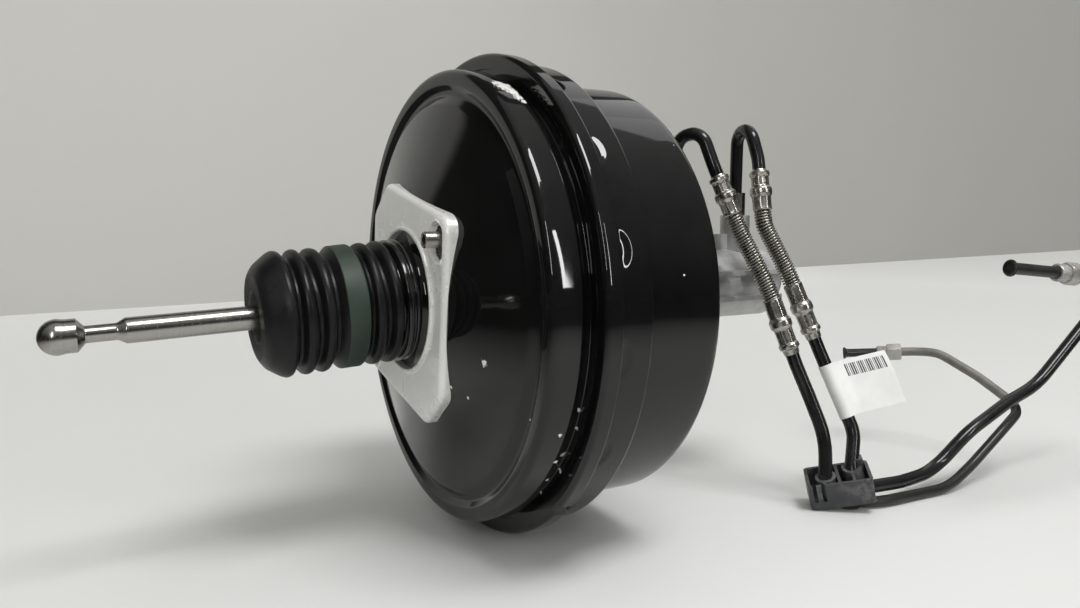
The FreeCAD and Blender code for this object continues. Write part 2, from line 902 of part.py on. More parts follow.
def boot_outline():
    """Outer face of the bellows from its front end to the hole in its rear wall."""
    half = boot_ridge_flat / 2
    points = []
    ridge_x = boot_first_x
    while ridge_x > boot_band_front_x + boot_ridge_pitch / 2:
        points += [(ridge_x + half, boot_ridge_r), (ridge_x - half, boot_ridge_r)]
        valley_x = ridge_x - boot_ridge_pitch / 2
        points += [(valley_x + half / 2, boot_valley_r), (valley_x - half / 2, boot_valley_r)]
        ridge_x -= boot_ridge_pitch
    points += [(boot_band_front_x, boot_ridge_r), (boot_band_rear_x, boot_ridge_r)]
    ridge_x = boot_band_rear_x - boot_ridge_pitch
    for i in range(boot_far_ridges):
        valley_x = ridge_x + boot_ridge_pitch / 2
        points += [(valley_x + half / 2, boot_valley_r), (valley_x - half / 2, boot_valley_r)]
        points += [(ridge_x + half, boot_ridge_r), (ridge_x - half, boot_ridge_r)]
        ridge_x -= boot_ridge_pitch
    points += [(boot_end_x + 2, boot_end_r + 3), (boot_end_x, boot_end_r), (boot_end_x, boot_hole_r)]
    return points


def dust_boot():
    cuff_rear_x = neck_rear_x
    cuff = tube(cuff_rear_x, cuff_rear_x + boot_cuff_length, boot_cuff_r, neck_r)
    inner_rear_x = boot_end_x + boot_end_wall
    bore_r = boot_bore_r
    bellows = ring_of(
        [(cuff_rear_x + 2, bore_r), (cuff_rear_x + 2, boot_ridge_r)]
        + boot_outline()
        + [(inner_rear_x, boot_hole_r), (inner_rear_x, bore_r - 2), (inner_rear_x + 3, bore_r)]
    )
    bellows = tilted(bellows, boot_droop, cuff_rear_x)
    boot = bellows.fuse(cuff)
    clearance = tube(cuff_rear_x, cuff_rear_x + boot_cuff_length, neck_r)
    return boot.cut(clearance)


# Master cylinder

def lozenge(centre_r, ear_r, reach, thickness):
    """Flat flange: a round centre joined by tangents to an ear on each side along Y."""
    open_angle = math.acos((centre_r - ear_r) / reach)
    upper = []
    for centre_y, radius, angle in (
        (reach, ear_r, open_angle), (0, centre_r, open_angle),
        (0, centre_r, math.pi - open_angle), (-reach, ear_r, math.pi - open_angle),
    ):
        upper.append(V(0, centre_y + radius * math.cos(angle), radius * math.sin(angle)))
    lower = [V(0, p.y, -p.z) for p in upper[::-1]]
    edges = [
        Part.LineSegment(upper[0], upper[1]).toShape(),
        Part.Arc(upper[1], V(0, 0, centre_r), upper[2]).toShape(),
        Part.LineSegment(upper[2], upper[3]).toShape(),
        Part.Arc(upper[3], V(0, -reach - ear_r, 0), lower[0]).toShape(),
        Part.LineSegment(lower[0], lower[1]).toShape(),
        Part.Arc(lower[1], V(0, 0, -centre_r), lower[2]).toShape(),
        Part.LineSegment(lower[2], lower[3]).toShape(),
        Part.Arc(lower[3], V(0, reach + ear_r, 0), upper[0]).toShape(),
    ]
    return Part.Face(Part.Wire(edges)).extrude(V(thickness, 0, 0))


def master_cylinder():
    flange = lozenge(mc_boss_r, mc_ear_r, mc_bolt_reach, mc_flange_thickness)
    flange.translate(V(mc_x, 0, 0))
    barrel = ring_of((
        (mc_x - mc_spigot_length, 0), (mc_x - mc_spigot_length, mc_spigot_r), (mc_x, mc_spigot_r),
        (mc_body_x, mc_body_r + 3), (mc_body_x + 6, mc_body_r),
        (mc_end_x - mc_nose_length, mc_body_r), (mc_end_x, mc_nose_r), (mc_end_x, 0),
    ))
    body = flange.fuse(barrel)
    rib_length = mc_end_x - mc_nose_length - mc_body_x
    for z in (-mc_rib_z, mc_rib_z):
        rib = Part.makeBox(
            rib_length, 2 * mc_rib_reach, mc_rib_width,
            V(mc_body_x, -mc_rib_reach, z - mc_rib_width / 2),
        )
        body = body.fuse(rib)
    for x in port_xs:
        body = body.fuse(rod(ORIGIN + V(x, 0, 0), V(x, 0, port_top_z), port_boss_r))
    for x in inlet_xs:
        body = body.fuse(rod(V(x, 0, 0), V(x, inlet_reach, 0), inlet_boss_r))
    web = Part.makeBox(
        port_xs[1] - port_xs[0], port_web_width, port_top_z - port_web_drop,
        V(port_xs[0], -port_web_width / 2, 0),
    )
    body = body.fuse(web)
    for x in port_xs:
        body = body.cut(rod(V(x, 0, port_top_z - port_depth), V(x, 0, port_top_z), nut_shank_r))
        body = body.cut(rod(V(x, 0, 0), V(x, 0, port_top_z - port_depth), pipe_bore_r))
    for x in inlet_xs:
        body = body.cut(rod(V(x, inlet_reach - inlet_depth, 0), V(x, inlet_reach, 0), inlet_bore_r))
        body = body.cut(rod(V(x, 0, 0), V(x, inlet_reach, 0), pipe_bore_r))
    body = body.cut(tube(mc_x - mc_spigot_length, mc_bore_end_x, mc_bore_r))
    oring_groove_x = mc_x - shell_wall - seat_gap - oring_wire
    body = body.cut(tube(oring_groove_x, oring_groove_x + oring_wire, mc_spigot_r, mc_spigot_r - oring_wire))
    for side in (-1, 1):
        start = V(mc_x, side * mc_bolt_reach, 0)
        body = body.cut(rod(start, start + V(mc_flange_thickness, 0, 0), mc_bolt_r))
    return body


def spigot_oring():
    oring_groove_x = mc_x - shell_wall - seat_gap - oring_wire
    return tube(oring_groove_x, oring_groove_x + oring_wire, mc_spigot_r + seat_gap / 2, mc_spigot_r - oring_wire)


def mc_bolts():
    """Two studs welded in the front shell, each with its nut."""
    group = None
    for side in (-1, 1):
        start = V(front_inner_x - 2, side * mc_bolt_reach, 0)
        end_x = mc_body_x + fastener_height + 3
        bolt = rod(start, V(end_x, start.y, 0), mc_bolt_r)
        head = rod(start, V(front_inner_x, start.y, 0), mc_bolt_r + 3)
        nut = hexagon_bar(fastener_flat, fastener_height)
        nut.translate(V(mc_body_x, start.y, 0))
        piece = bolt.fuse(head).fuse(nut)
        group = piece if group is None else group.fuse(piece)
    return group


def inlet_grommets():
    group = None
    for x in inlet_xs:
        base = inlet_reach - inlet_depth + 4
        plug = rod(V(x, base, 0), V(x, inlet_reach, 0), inlet_bore_r)
        collar = rod(V(x, inlet_reach, 0), V(x, inlet_reach + grommet_stand, 0), grommet_r)
        hole = rod(V(x, base, 0), V(x, inlet_reach + grommet_stand, 0), inlet_bore_r - 2.2)
        piece = plug.fuse(collar).cut(hole)
        group = piece if group is None else group.fuse(piece)
    return group


# Hydraulic pistons with their cups and springs

def piston(x, length, socket_depth):
    cup_x = x + cup_inset
    far_cup_x = x + length - piston_skirt_depth - cup_width
    body = tube(x, x + length, piston_r)
    for groove in (cup_x, far_cup_x):
        body = body.cut(tube(groove, groove + cup_width, piston_r, piston_r - cup_depth))
    body = body.cut(tube(x + length - piston_skirt_depth, x + length, piston_r - piston_skirt_wall))
    if socket_depth > 0:
        body = body.cut(tube(x, x + socket_depth, output_rod_r + seat_gap))
    return body


def piston_cups(x, length):
    cup_x = x + cup_inset
    far_cup_x = x + length - piston_skirt_depth - cup_width
    first = tube(cup_x, cup_x + cup_width, piston_r, piston_r - cup_depth)
    return first.fuse(tube(far_cup_x, far_cup_x + cup_width, piston_r, piston_r - cup_depth))


def piston_spring(x, end_x):
    return tube(x, end_x, piston_spring_r, piston_spring_r - piston_spring_wire)


# Vacuum check valve

def check_grommet():
    ring = ring_of((
        (front_inner_x - 3, check_body_r), (front_x + 3, check_body_r), (front_x + 3, check_grommet_r - 1),
        (front_x, check_grommet_r), (front_x, check_hole_r), (front_inner_x, check_hole_r),
        (front_inner_x, check_hole_r + 1.5), (front_inner_x - 3, check_hole_r),
    ))
    ring.translate(V(0, check_y, check_z))
    return ring


def check_valve():
    start_x = front_inner_x - check_inner_reach
    collar_x = front_x + 3
    barb_x = collar_x + check_outer_reach
    barb_end_x = barb_x + barb_length
    taper_x = barb_end_x - barb_taper_length
    bead_x = taper_x - barb_bead_length
    body = ring_of((
        (start_x, barb_bore_r), (start_x, check_body_r), (collar_x, check_body_r),
        (collar_x, check_collar_r), (barb_x, check_collar_r), (barb_x, barb_r),
        (bead_x, barb_r), (bead_x, barb_bead_r), (taper_x, barb_bead_r),
        (barb_end_x, barb_tip_r), (barb_end_x, barb_bore_r),
    ))
    body.translate(V(0, check_y, check_z))
    return body


# Tube nuts, pipes, ferrules and hoses

def port_nuts():
    group = None
    for x in port_xs:
        hexagon = hexagon_bar(nut_flat, nut_length)
        shank = tube(-port_depth + 2, 0, nut_shank_r)
        nut = hexagon.fuse(shank).cut(tube(-port_depth, nut_length, coat_r))
        nut = placed(nut, V(x, 0, port_top_z), Z_AXIS)
        group = nut if group is None else group.fuse(nut)
    return group


def upper_pipe(index):
    x = port_xs[index]
    end = V(*upper_routes[index][-1])
    up = (end - V(*hose_tops[index])).normalize()
    seat = V(x, 0, port_top_z - port_depth + 2)
    mouth = V(x, 0, port_top_z + nut_length + pipe_lead)
    middle = [V(*point) for point in upper_routes[index][:-1]]
    route = [seat, mouth] + middle + [end + up * pipe_lead, end]
    return swept(route, pipe_bends(route), coat_r, pipe_bore_r)


def upper_ferrule(length):
    """Ferrule built from its pipe end at the origin to its hose end."""
    bore_x = length - hose_insert
    collar_x = ferrule_neck_length + ferrule_edge
    waist_x = collar_x + ferrule_collar_length + ferrule_edge
    sleeve_x = waist_x + ferrule_waist_length + ferrule_edge
    return ring_of((
        (0, ferrule_neck_bore_r), (0, ferrule_neck_r), (ferrule_neck_length, ferrule_neck_r),
        (collar_x, ferrule_collar_r), (waist_x - ferrule_edge, ferrule_collar_r),
        (waist_x, ferrule_waist_r), (sleeve_x - ferrule_edge, ferrule_waist_r),
        (sleeve_x, ferrule_collar_r), (sleeve_x + ferrule_edge, ferrule_r),
        (length - ferrule_edge, ferrule_r), (length, ferrule_r - ferrule_edge), (length, hose_r),
        (bore_x, hose_r), (bore_x, ferrule_neck_bore_r),
    ))


def lower_ferrule(length):
    """Ferrule built from its hose end at the origin to its pipe end."""
    collar_x = lower_sleeve_length + 2 * ferrule_edge
    waist_x = collar_x + lower_collar_length + ferrule_edge
    nose_x = waist_x + lower_waist_length + ferrule_edge
    neck_x = nose_x + lower_nose_length + ferrule_edge
    return ring_of((
        (0, hose_r), (0, ferrule_r - ferrule_edge), (ferrule_edge, ferrule_r),
        (collar_x - ferrule_edge, ferrule_r), (collar_x, ferrule_collar_r),
        (waist_x - ferrule_edge, ferrule_collar_r), (waist_x, ferrule_waist_r),
        (nose_x - ferrule_edge, ferrule_waist_r), (nose_x, lower_nose_r),
        (neck_x - ferrule_edge, lower_nose_r), (neck_x, ferrule_neck_r),
        (length, ferrule_neck_r), (length, ferrule_neck_bore_r), (hose_insert, ferrule_neck_bore_r),
        (hose_insert, hose_r),
    ))


def hose_points(index, insert):
    """Hose route: straight in both ferrules, with its turns in the free part."""
    pipe_end = V(*upper_routes[index][-1])
    top = V(*hose_tops[index])
    foot = V(*hose_feet[index])
    low_end = V(*ferrule_feet[index])
    down = (top - pipe_end).normalize()
    away = (low_end - foot).normalize()
    return (
        top - down * insert, top + down * hose_lead,
        foot - away * hose_lead, foot + away * insert,
    )


def hose(index):
    bends = largest_bends(hose_points(index, 0))
    return swept(hose_points(index, hose_insert), bends, hose_r)


def hose_guard(index):
    route = hose_points(index, 0)
    return swept(route, largest_bends(route), hose_r + guard_wire, hose_r)


def lower_route(index):
    """Route of a lower pipe, which leaves its ferrule along the ferrule's axis."""
    foot = V(*ferrule_feet[index])
    away = (foot - V(*hose_feet[index])).normalize()
    rest = near_route if index == 0 else far_route
    return [foot, foot + away * pipe_lead] + [V(*point) for point in rest]


def coated_pipe(route, coat_bends, coat_past):
    """Rigid pipe, coated to a little past one of its bends, then bare up to its flared end."""
    bends = pipe_bends(route)
    bare = swept(route, bends, pipe_r, pipe_bore_r)
    last = route[coat_bends]
    onward = (route[coat_bends + 1] - last).normalize()
    coated = route[:coat_bends + 1] + [last + onward * coat_past]
    coat = swept(coated, bends[:coat_bends], coat_r, pipe_r)
    end = route[-1]
    back = (route[-2] - end).normalize()
    flare = ring_of((
        (0, pipe_bore_r), (0, flare_r - 1), (1, flare_r), (flare_length, pipe_r),
        (flare_length, pipe_bore_r),
    ))
    return bare.fuse(coat).fuse(placed(flare, end, back))


def end_nut(route, slack):
    """Loose tube nut round the bare pipe, a given way back from the flare."""
    end = route[-1]
    back = (route[-2] - end).normalize()
    nut = ring_of((
        (0, pipe_r + slide_gap), (0, nut_shank_r), (end_nut_collar, nut_shank_r),
        (end_nut_collar, end_nut_r), (end_nut_length, end_nut_r), (end_nut_length, pipe_r + slide_gap),
    ))
    return placed(nut, end + back * slack, back)


# Clip block and paper flag

def clip_block():
    """Ribbed block, open at the top, with a cup round each pipe, a tab at the back and slots in front."""
    corners = (
        ORIGIN, V(clip_length, 0, 0), V(clip_length, clip_depth, 0), V(0, clip_depth, 0),
    )
    start = (corners[-1] + corners[0]) * 0.5
    outline = Part.Wire(bent_edges((start,) + corners + (start,), [clip_corner_r] * 4))
    solid = Part.Face(outline).extrude(V(0, 0, clip_height))
    inner_x = clip_length - 2 * clip_wall
    inner_y = clip_depth - 2 * clip_wall
    pocket = Part.makeBox(inner_x, inner_y, clip_height, V(clip_wall, clip_wall, clip_floor))
    spacing = inner_x / (clip_rib_count + 1)
    for i in range(clip_rib_count):
        rib = Part.makeBox(
            clip_wall, inner_y, clip_height,
            V(clip_wall / 2 + spacing * (i + 1), clip_wall, clip_floor),
        )
        pocket = pocket.cut(rib)
    block = solid.cut(pocket)
    tab_spot = V(clip_length - clip_corner_r - clip_tab_length, clip_depth - clip_tab_depth, 0)
    tab = Part.makeBox(clip_tab_length, clip_tab_depth, clip_height + clip_tab_rise, tab_spot)
    tab_hole = Part.makeBox(
        clip_tab_length - 2 * clip_wall, clip_tab_depth - 2 * clip_wall, clip_height + clip_tab_rise,
        tab_spot + V(clip_wall, clip_wall, clip_floor),
    )
    block = block.fuse(tab).cut(tab_hole)
    for i in range(clip_slot_count):
        slot = Part.makeBox(
            clip_slot_width, clip_wall, clip_height,
            V(clip_corner_r + clip_slot_pitch * i, 0, clip_floor),
        )
        block = block.cut(slot)
    tipped = (
        FreeCAD.Rotation(Z_AXIS, -clip_yaw)
        * FreeCAD.Rotation(Y_AXIS, -clip_roll)
        * FreeCAD.Rotation(X_AXIS, clip_pitch)
    )
    place = FreeCAD.Placement(V(*clip_corner), tipped)
    block.Placement = place
    solid.Placement = place
    routes = [lower_route(index)[:clip_runs] for index in (0, 1)]
    for route in routes:
        cup = swept(route, pipe_bends(route), coat_r + clip_cup_wall)
        block = block.fuse(cup.common(solid))
    for route in routes:
        block = block.cut(swept(route, pipe_bends(route), coat_r))
    return max(block.Solids, key=lambda piece: piece.Volume)


def paper_flag():
    """Paper strip folded round the far pipe, its two leaves stuck together beyond it."""
    start = V(*far_route[0])
    end = V(*far_route[1])
    along = (end - start).normalize()
    hole_r = coat_r + seat_gap
    loop_r = hole_r + flag_thickness
    angle = math.acos(loop_r / flag_closing)
    touch = V(0, loop_r * math.cos(angle), loop_r * math.sin(angle))
    closing = V(0, flag_closing, flag_thickness)
    edge = V(0, flag_reach, flag_thickness)
    mirrored = [V(0, p.y, -p.z) for p in (edge, closing, touch)]
    outline = [Part.LineSegment(a, b).toShape() for a, b in zip((touch, closing), (closing, edge))]
    outline.append(Part.LineSegment(edge, mirrored[0]).toShape())
    outline += [Part.LineSegment(a, b).toShape() for a, b in zip(mirrored, mirrored[1:])]
    outline.append(Part.Arc(mirrored[-1], V(0, -loop_r, 0), touch).toShape())
    hole = Part.Wire(Part.makeCircle(hole_r, ORIGIN, X_AXIS))
    flag = Part.Face(Part.Wire(outline)).extrude(V(flag_width, 0, 0))
    flag = flag.cut(Part.Face(hole).extrude(V(flag_width, 0, 0)))
    toward = V(0.86, -0.35, 0.1)
    across = (toward - along * toward.dot(along)).normalize()
    rotation = FreeCAD.Rotation(along, across, along.cross(across), "XYZ")
    overhang = (flag_width - start.distanceToPoint(end)) / 2
    flag.Placement = FreeCAD.Placement(start - along * overhang, rotation)
    return flag


os.makedirs("parts", exist_ok=True)
save("rear_shell", rear_shell())
save("front_shell", front_shell())
save("mounting_plate", mounting_plate())
save("mounting_studs", mounting_studs())
save("valve_body", valve_body())
save("stop_key", stop_key())
save("valve_plunger", plunger())
save("poppet", poppet())
save("poppet_retainer", poppet_retainer())
save("poppet_spring", poppet_spring())
save("valve_return_spring", valve_return_spring())
save("air_filter", air_filter())
save("silencer", silencer())
save("reaction_disc", reaction_disc())
save("output_rod", output_rod())
save("rear_diaphragm_plate", rear_support())
save("front_diaphragm_plate", front_support())
save("rear_diaphragm", rear_diaphragm())
save("front_diaphragm", front_diaphragm())
save("centre_plate", centre_plate())
save("centre_seal", centre_seal())
save("neck_guide", neck_guide())
save("neck_seal", neck_seal())
save("piston_return_spring", return_spring())
save("push_rod", push_rod())
save("dust_boot", dust_boot())
save("master_cylinder", master_cylinder())
save("spigot_oring", spigot_oring())
save("cylinder_studs_nuts", mc_bolts())
save("inlet_grommets", inlet_grommets())
save("primary_piston", piston(primary_x, primary_length, rod_socket_depth))
save("primary_cups", piston_cups(primary_x, primary_length))
save("secondary_piston", piston(secondary_x, secondary_length, 0))
save("secondary_cups", piston_cups(secondary_x, secondary_length))
primary_spring_x = primary_x + primary_length - piston_skirt_depth
save("primary_spring", piston_spring(primary_spring_x, secondary_x))
secondary_spring_x = secondary_x + secondary_length - piston_skirt_depth
save("secondary_spring", piston_spring(secondary_spring_x, mc_bore_end_x))
save("check_grommet", check_grommet())
save("check_valve", check_valve())
save("port_nuts", port_nuts())
for index, side in enumerate(("near", "far")):
    save("upper_pipe_" + side, upper_pipe(index))
    save("upper_ferrule_" + side, between(upper_ferrule, upper_routes[index][-1], hose_tops[index]))
    save("brake_hose_" + side, hose(index))
    save("hose_guard_" + side, hose_guard(index))
    save("lower_ferrule_" + side, between(lower_ferrule, hose_feet[index], ferrule_feet[index]))
save("lower_pipe_near", coated_pipe(lower_route(0), near_coat_bends, near_coat_past))
save("lower_pipe_far", coated_pipe(lower_route(1), far_coat_bends, far_coat_past))
save("end_nut_near", end_nut(lower_route(0), near_nut_slack))
save("end_nut_far", end_nut(lower_route(1), far_nut_slack))
save("clip_block", clip_block())
save("paper_flag", paper_flag())
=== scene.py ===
"""Brake booster with its master cylinder, hoses and brake pipes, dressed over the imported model.

Sizes are millimetres in the part's own frame: the booster axis is X, the push rod points to -X
and Z is up. Meshes are made in millimetres and written in metres.
"""
import logging
import math
from dataclasses import dataclass
from enum import Enum
from typing import Callable, Optional, Sequence, Union

import bmesh
import bpy
import numpy as np
from mathutils import Matrix, Vector


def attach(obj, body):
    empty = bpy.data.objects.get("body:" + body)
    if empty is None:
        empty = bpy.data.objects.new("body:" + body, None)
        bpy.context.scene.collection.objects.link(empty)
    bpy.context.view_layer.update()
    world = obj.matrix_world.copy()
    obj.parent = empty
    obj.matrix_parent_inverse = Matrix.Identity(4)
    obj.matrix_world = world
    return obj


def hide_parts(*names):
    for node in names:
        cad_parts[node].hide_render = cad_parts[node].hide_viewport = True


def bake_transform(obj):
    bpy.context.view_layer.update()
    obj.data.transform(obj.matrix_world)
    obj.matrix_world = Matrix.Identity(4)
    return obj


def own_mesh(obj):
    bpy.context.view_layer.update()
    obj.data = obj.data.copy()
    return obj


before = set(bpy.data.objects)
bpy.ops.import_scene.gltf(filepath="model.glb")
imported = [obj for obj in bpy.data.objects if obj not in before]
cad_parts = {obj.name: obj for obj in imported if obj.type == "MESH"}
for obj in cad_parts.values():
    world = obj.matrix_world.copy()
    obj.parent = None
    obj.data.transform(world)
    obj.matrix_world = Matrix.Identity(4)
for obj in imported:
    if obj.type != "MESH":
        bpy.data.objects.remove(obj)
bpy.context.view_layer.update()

LOG = logging.getLogger("brake_booster")
MM = 0.001
X_AXIS = Vector((1, 0, 0))

Corner = tuple[float, float, float]
Point3 = tuple[float, float, float]
Flat = tuple[float, float]
Colour = tuple[float, float, float]
Socket = bpy.types.NodeSocket
Sockets = bpy.types.bpy_prop_collection
Feed = Union[Socket, Colour, float]


class Body(Enum):
    """CAD bodies that pieces ride on."""

    HOUSING = "housing"
    POWER_PISTON = "power_piston"
    SECONDARY_PISTON = "secondary_piston"
    PUSH_ROD = "push_rod"
    NEAR_NUT = "near_end_nut"
    FAR_NUT = "far_end_nut"


class Slot(Enum):
    """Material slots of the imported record."""

    SHELL_PAINT = "black_shell_paint"
    ZINC = "zinc_plate"
    STEEL = "bare_steel"
    BOOT = "boot_rubber"
    SEAL = "seal_rubber"
    HOSE = "hose_rubber"
    MOULDING = "valve_moulding"
    FELT = "filter_felt"
    CASTING = "cast_aluminium"
    TURNED = "turned_aluminium"
    SPRING = "spring_steel"
    COATING = "pipe_coating"
    CLIP = "clip_plastic"
    VALVE = "valve_plastic"
    PAPER = "label_paper"


# Shapes

@dataclass
class Shape:
    """Points and faces of a mesh in the making, in millimetres.

    Args:
        points: Array of points, one row each.
        faces: Corner numbers of each face.
        tags: Material number of each face.
    """

    points: np.ndarray
    faces: list[tuple[int, ...]]
    tags: list[int]

    def plus(self, *others: "Shape") -> "Shape":
        """Join other shapes to this one.

        Args:
            others: Shapes to add.

        Returns:
            One shape with all points and faces.
        """
        points, faces, tags = [self.points], list(self.faces), list(self.tags)
        count = len(self.points)
        for other in others:
            points.append(other.points)
            faces += [tuple(i + count for i in face) for face in other.faces]
            tags += other.tags
            count += len(other.points)
        return Shape(np.vstack(points), faces, tags)

    def moved(self, matrix: Matrix) -> "Shape":
        """Place the shape by a matrix whose shift is in millimetres.

        Args:
            matrix: Placement.

        Returns:
            The placed shape.
        """
        m = np.array(matrix, float)
        return Shape(self.points @ m[:3, :3].T + m[:3, 3], self.faces, self.tags)

    def tagged(self, tag: int) -> "Shape":
        """Give every face one material number."""
        return Shape(self.points, self.faces, [tag] * len(self.faces))

    def pushed(self, push: Callable[[np.ndarray], np.ndarray]) -> "Shape":
        """Move points by a function.

        Args:
            push: Takes the array of points and returns the new one.

        Returns:
            The changed shape.
        """
        return Shape(push(self.points), self.faces, self.tags)


def grid_shape(rows: np.ndarray, wrap: bool = False, caps: bool = False,
               tags: Optional[Sequence[int]] = None) -> Shape:
    """Skin a grid of points with quads, each row closed on itself.

    Args:
        rows: Array of rows by columns by three.
        wrap: Whether the last row joins the first.
        caps: Whether the first and last rows are closed by one face each.
        tags: Material number of each strip between two rows.

    Returns:
        The skinned shape.
    """
    count, across = rows.shape[:2]
    faces: list[tuple[int, ...]] = []
    marks: list[int] = []
    for i in range(count if wrap else count - 1):
        a, b = i * across, (i + 1) % count * across
        tag = tags[i] if tags else 0
        for j in range(across):
            k = (j + 1) % across
            faces.append((a + j, a + k, b + k, b + j))
            marks.append(tag)
    if caps:
        faces.append(tuple(range(across)))
        faces.append(tuple((count - 1) * across + j for j in range(across)))
        marks += [tags[0] if tags else 0, tags[-1] if tags else 0]
    return Shape(rows.reshape(-1, 3), faces, marks)


def rounded(corners: Sequence[Corner], step: float = 12.0) -> list[Flat]:
    """Round a profile's corners into arcs.

    Args:
        corners: Station, radius and bend radius of each corner.
        step: Largest turn between two points of an arc, in degrees.

    Returns:
        Points of the rounded profile.
    """
    line = [Vector(c[:2]) for c in corners]
    points: list[Flat] = [tuple(line[0])]
    for before, corner, after, (_, _, bend) in zip(line, line[1:], line[2:], corners[1:-1]):
        into, out = (corner - before).normalized(), (after - corner).normalized()
        turn = into.angle(out)
        if bend <= 0 or turn < 1e-3:
            points.append(tuple(corner))
            continue
        half = math.tan(turn / 2)
        setback = min(bend * half, 0.49 * (corner - before).length, 0.49 * (after - corner).length)
        centre = corner + (out - into).normalized() * (setback / half / math.cos(turn / 2))
        arm = corner - into * setback - centre
        side = 1 if into.x * out.y - into.y * out.x > 0 else -1
        steps = max(2, math.ceil(math.degrees(turn) / step))
        for k in range(steps + 1):
            a = side * turn * k / steps
            points.append((centre.x + arm.x * math.cos(a) - arm.y * math.sin(a),
                           centre.y + arm.x * math.sin(a) + arm.y * math.cos(a)))
    points.append(tuple(line[-1]))
    return points


def offset(corners: Sequence[Corner], wall: float) -> list[Corner]:
    """Other face of a sheet, the wall to the right of its path.

    Args:
        corners: Station, radius and bend radius of one face's corners.
        wall: Sheet thickness.

    Returns:
        Corners of the other face.
    """
    line = [Vector(c[:2]) for c in corners]
    normals = []
    for a, b in zip(line, line[1:]):
        along = (b - a).normalized()
        normals.append(Vector((along.y, -along.x)))
    made: list[Corner] = [(*(line[0] + normals[0] * wall), 0.0)]
    for corner, (_, _, bend), one, two in zip(line[1:], corners[1:], normals, normals[1:]):
        mean = (one + two).normalized()
        point = corner + mean * (wall / mean.dot(one))
        right = one.x * two.y - one.y * two.x < 0
        made.append((point.x, point.y, max(bend - wall if right else bend + wall, 0.2) if bend else 0.0))
    made.append((*(line[-1] + normals[-1] * wall), 0.0))
    return made


def resampled(profile: Sequence[Flat], longest: float, fine: Flat = (1.0, -1.0)) -> list[Flat]:
    """Divide a profile's long runs.

    Args:
        profile: Points of the profile.
        longest: Longest run to leave.
        fine: Stations between which the runs are 0.5 mm.

    Returns:
        Points no further apart than that.
    """
    out: list[Flat] = [profile[0]]
    for (x0, r0), (x1, r1) in zip(profile, profile[1:]):
        step = 0.5 if fine[0] < (x0 + x1) / 2 < fine[1] else longest
        parts = max(1, math.ceil(math.hypot(x1 - x0, r1 - r0) / step))
        out += [(x0 + (x1 - x0) * k / parts, r0 + (r1 - r0) * k / parts) for k in range(1, parts + 1)]
    return out


def sheet(corners: Sequence[Corner], wall: float, longest: float,
          fine: Flat = (1.0, -1.0)) -> list[Flat]:
    """Closed outline of a bent sheet.

    Args:
        corners: Station, radius and bend radius of the outer face.
        wall: Sheet thickness.
        longest: Longest run between two points.
        fine: Stations of the outer face between which the runs are short.

    Returns:
        Points round the sheet.
    """
    outer = resampled(rounded(corners), longest, fine)
    inner = resampled(rounded(offset(corners, wall)), 2 * longest)
    return outer + inner[::-1]


def polar(x: np.ndarray | float, r: np.ndarray | float, turn: np.ndarray) -> np.ndarray:
    """Points at stations, distances and angles about the X axis."""
    return np.stack([np.broadcast_to(x, turn.shape), r * np.cos(turn), r * np.sin(turn)], 1)


def lathe(profile: Sequence[Flat], segments: int, tags: Optional[Sequence[int]] = None) -> Shape:
    """Turn a closed profile about the X axis.

    Args:
        profile: Station and radius of each point.
        segments: Points round each ring.
        tags: Material number of each strip.

    Returns:
        The turned shape.
    """
    angles = np.linspace(0, 2 * math.pi, segments, endpoint=False)
    return grid_shape(np.stack([polar(x, r, angles) for x, r in profile]), wrap=True, tags=tags)


def frames_along(line: Sequence[Vector]) -> list[tuple[Vector, Vector]]:
    """Two directions across a line at each point, without twist.

    Args:
        line: Points of the line.

    Returns:
        Pairs of unit vectors.
    """
    tangents = []
    for i in range(len(line)):
        a, b = line[max(i - 1, 0)], line[min(i + 1, len(line) - 1)]
        tangents.append((b - a).normalized())
    first = tangents[0].orthogonal().normalized()
    made = [(first, tangents[0].cross(first))]
    for before, now in zip(tangents, tangents[1:]):
        side = before.rotation_difference(now) @ made[-1][0]
        side = (side - now * side.dot(now)).normalized()
        made.append((side, now.cross(side)))
    return made


def swept(line: Sequence[Vector], radii: Sequence[float] | float, sides: int = 24,
          tags: Optional[Sequence[int]] = None) -> Shape:
    """Round bar along a line.

    Args:
        line: Points of the centre line.
        radii: One radius, or one for each point.
        sides: Points round the bar.
        tags: Material number of each strip.

    Returns:
        The swept shape, closed at both ends.
    """
    sizes = [radii] * len(line) if isinstance(radii, (int, float)) else list(radii)
    angles = np.linspace(0, 2 * math.pi, sides, endpoint=False)
    rows = np.empty((len(line), sides, 3))
    for i, (point, (side, up)) in enumerate(zip(line, frames_along(line))):
        ring = np.outer(np.cos(angles), np.array(side)) + np.outer(np.sin(angles), np.array(up))
        rows[i] = np.array(point) + ring * sizes[i]
    return grid_shape(rows, caps=True, tags=tags)


def bent_line(points: Sequence[Vector], largest: float = 60.0, step: float = 6.0) -> list[Vector]:
    """Centre line of a formed pipe: straight runs joined by arcs.

    Args:
        points: Corners of the route.
        largest: Largest bend radius.
        step: Largest turn between two points of an arc, in degrees.

    Returns:
        Points of the line.
    """
    out = [points[0].copy()]
    for before, corner, after in zip(points, points[1:], points[2:]):
        into, away = (corner - before).normalized(), (after - corner).normalized()
        turn = into.angle(away)
        if turn < 1e-3:
            out.append(corner.copy())
            continue
        half = math.tan(turn / 2)
        room = 0.45 * min((corner - before).length, (after - corner).length)
        radius = min(room / half, largest)
        centre = corner + (away - into).normalized() * (radius / math.cos(turn / 2))
        arm = corner - into * radius * half - centre
        axis = into.cross(away).normalized()
        steps = max(3, math.ceil(math.degrees(turn) / step))
        for k in range(steps + 1):
            out.append(centre + Matrix.Rotation(turn * k / steps, 3, axis) @ arm)
    out.append(points[-1].copy())
    return out


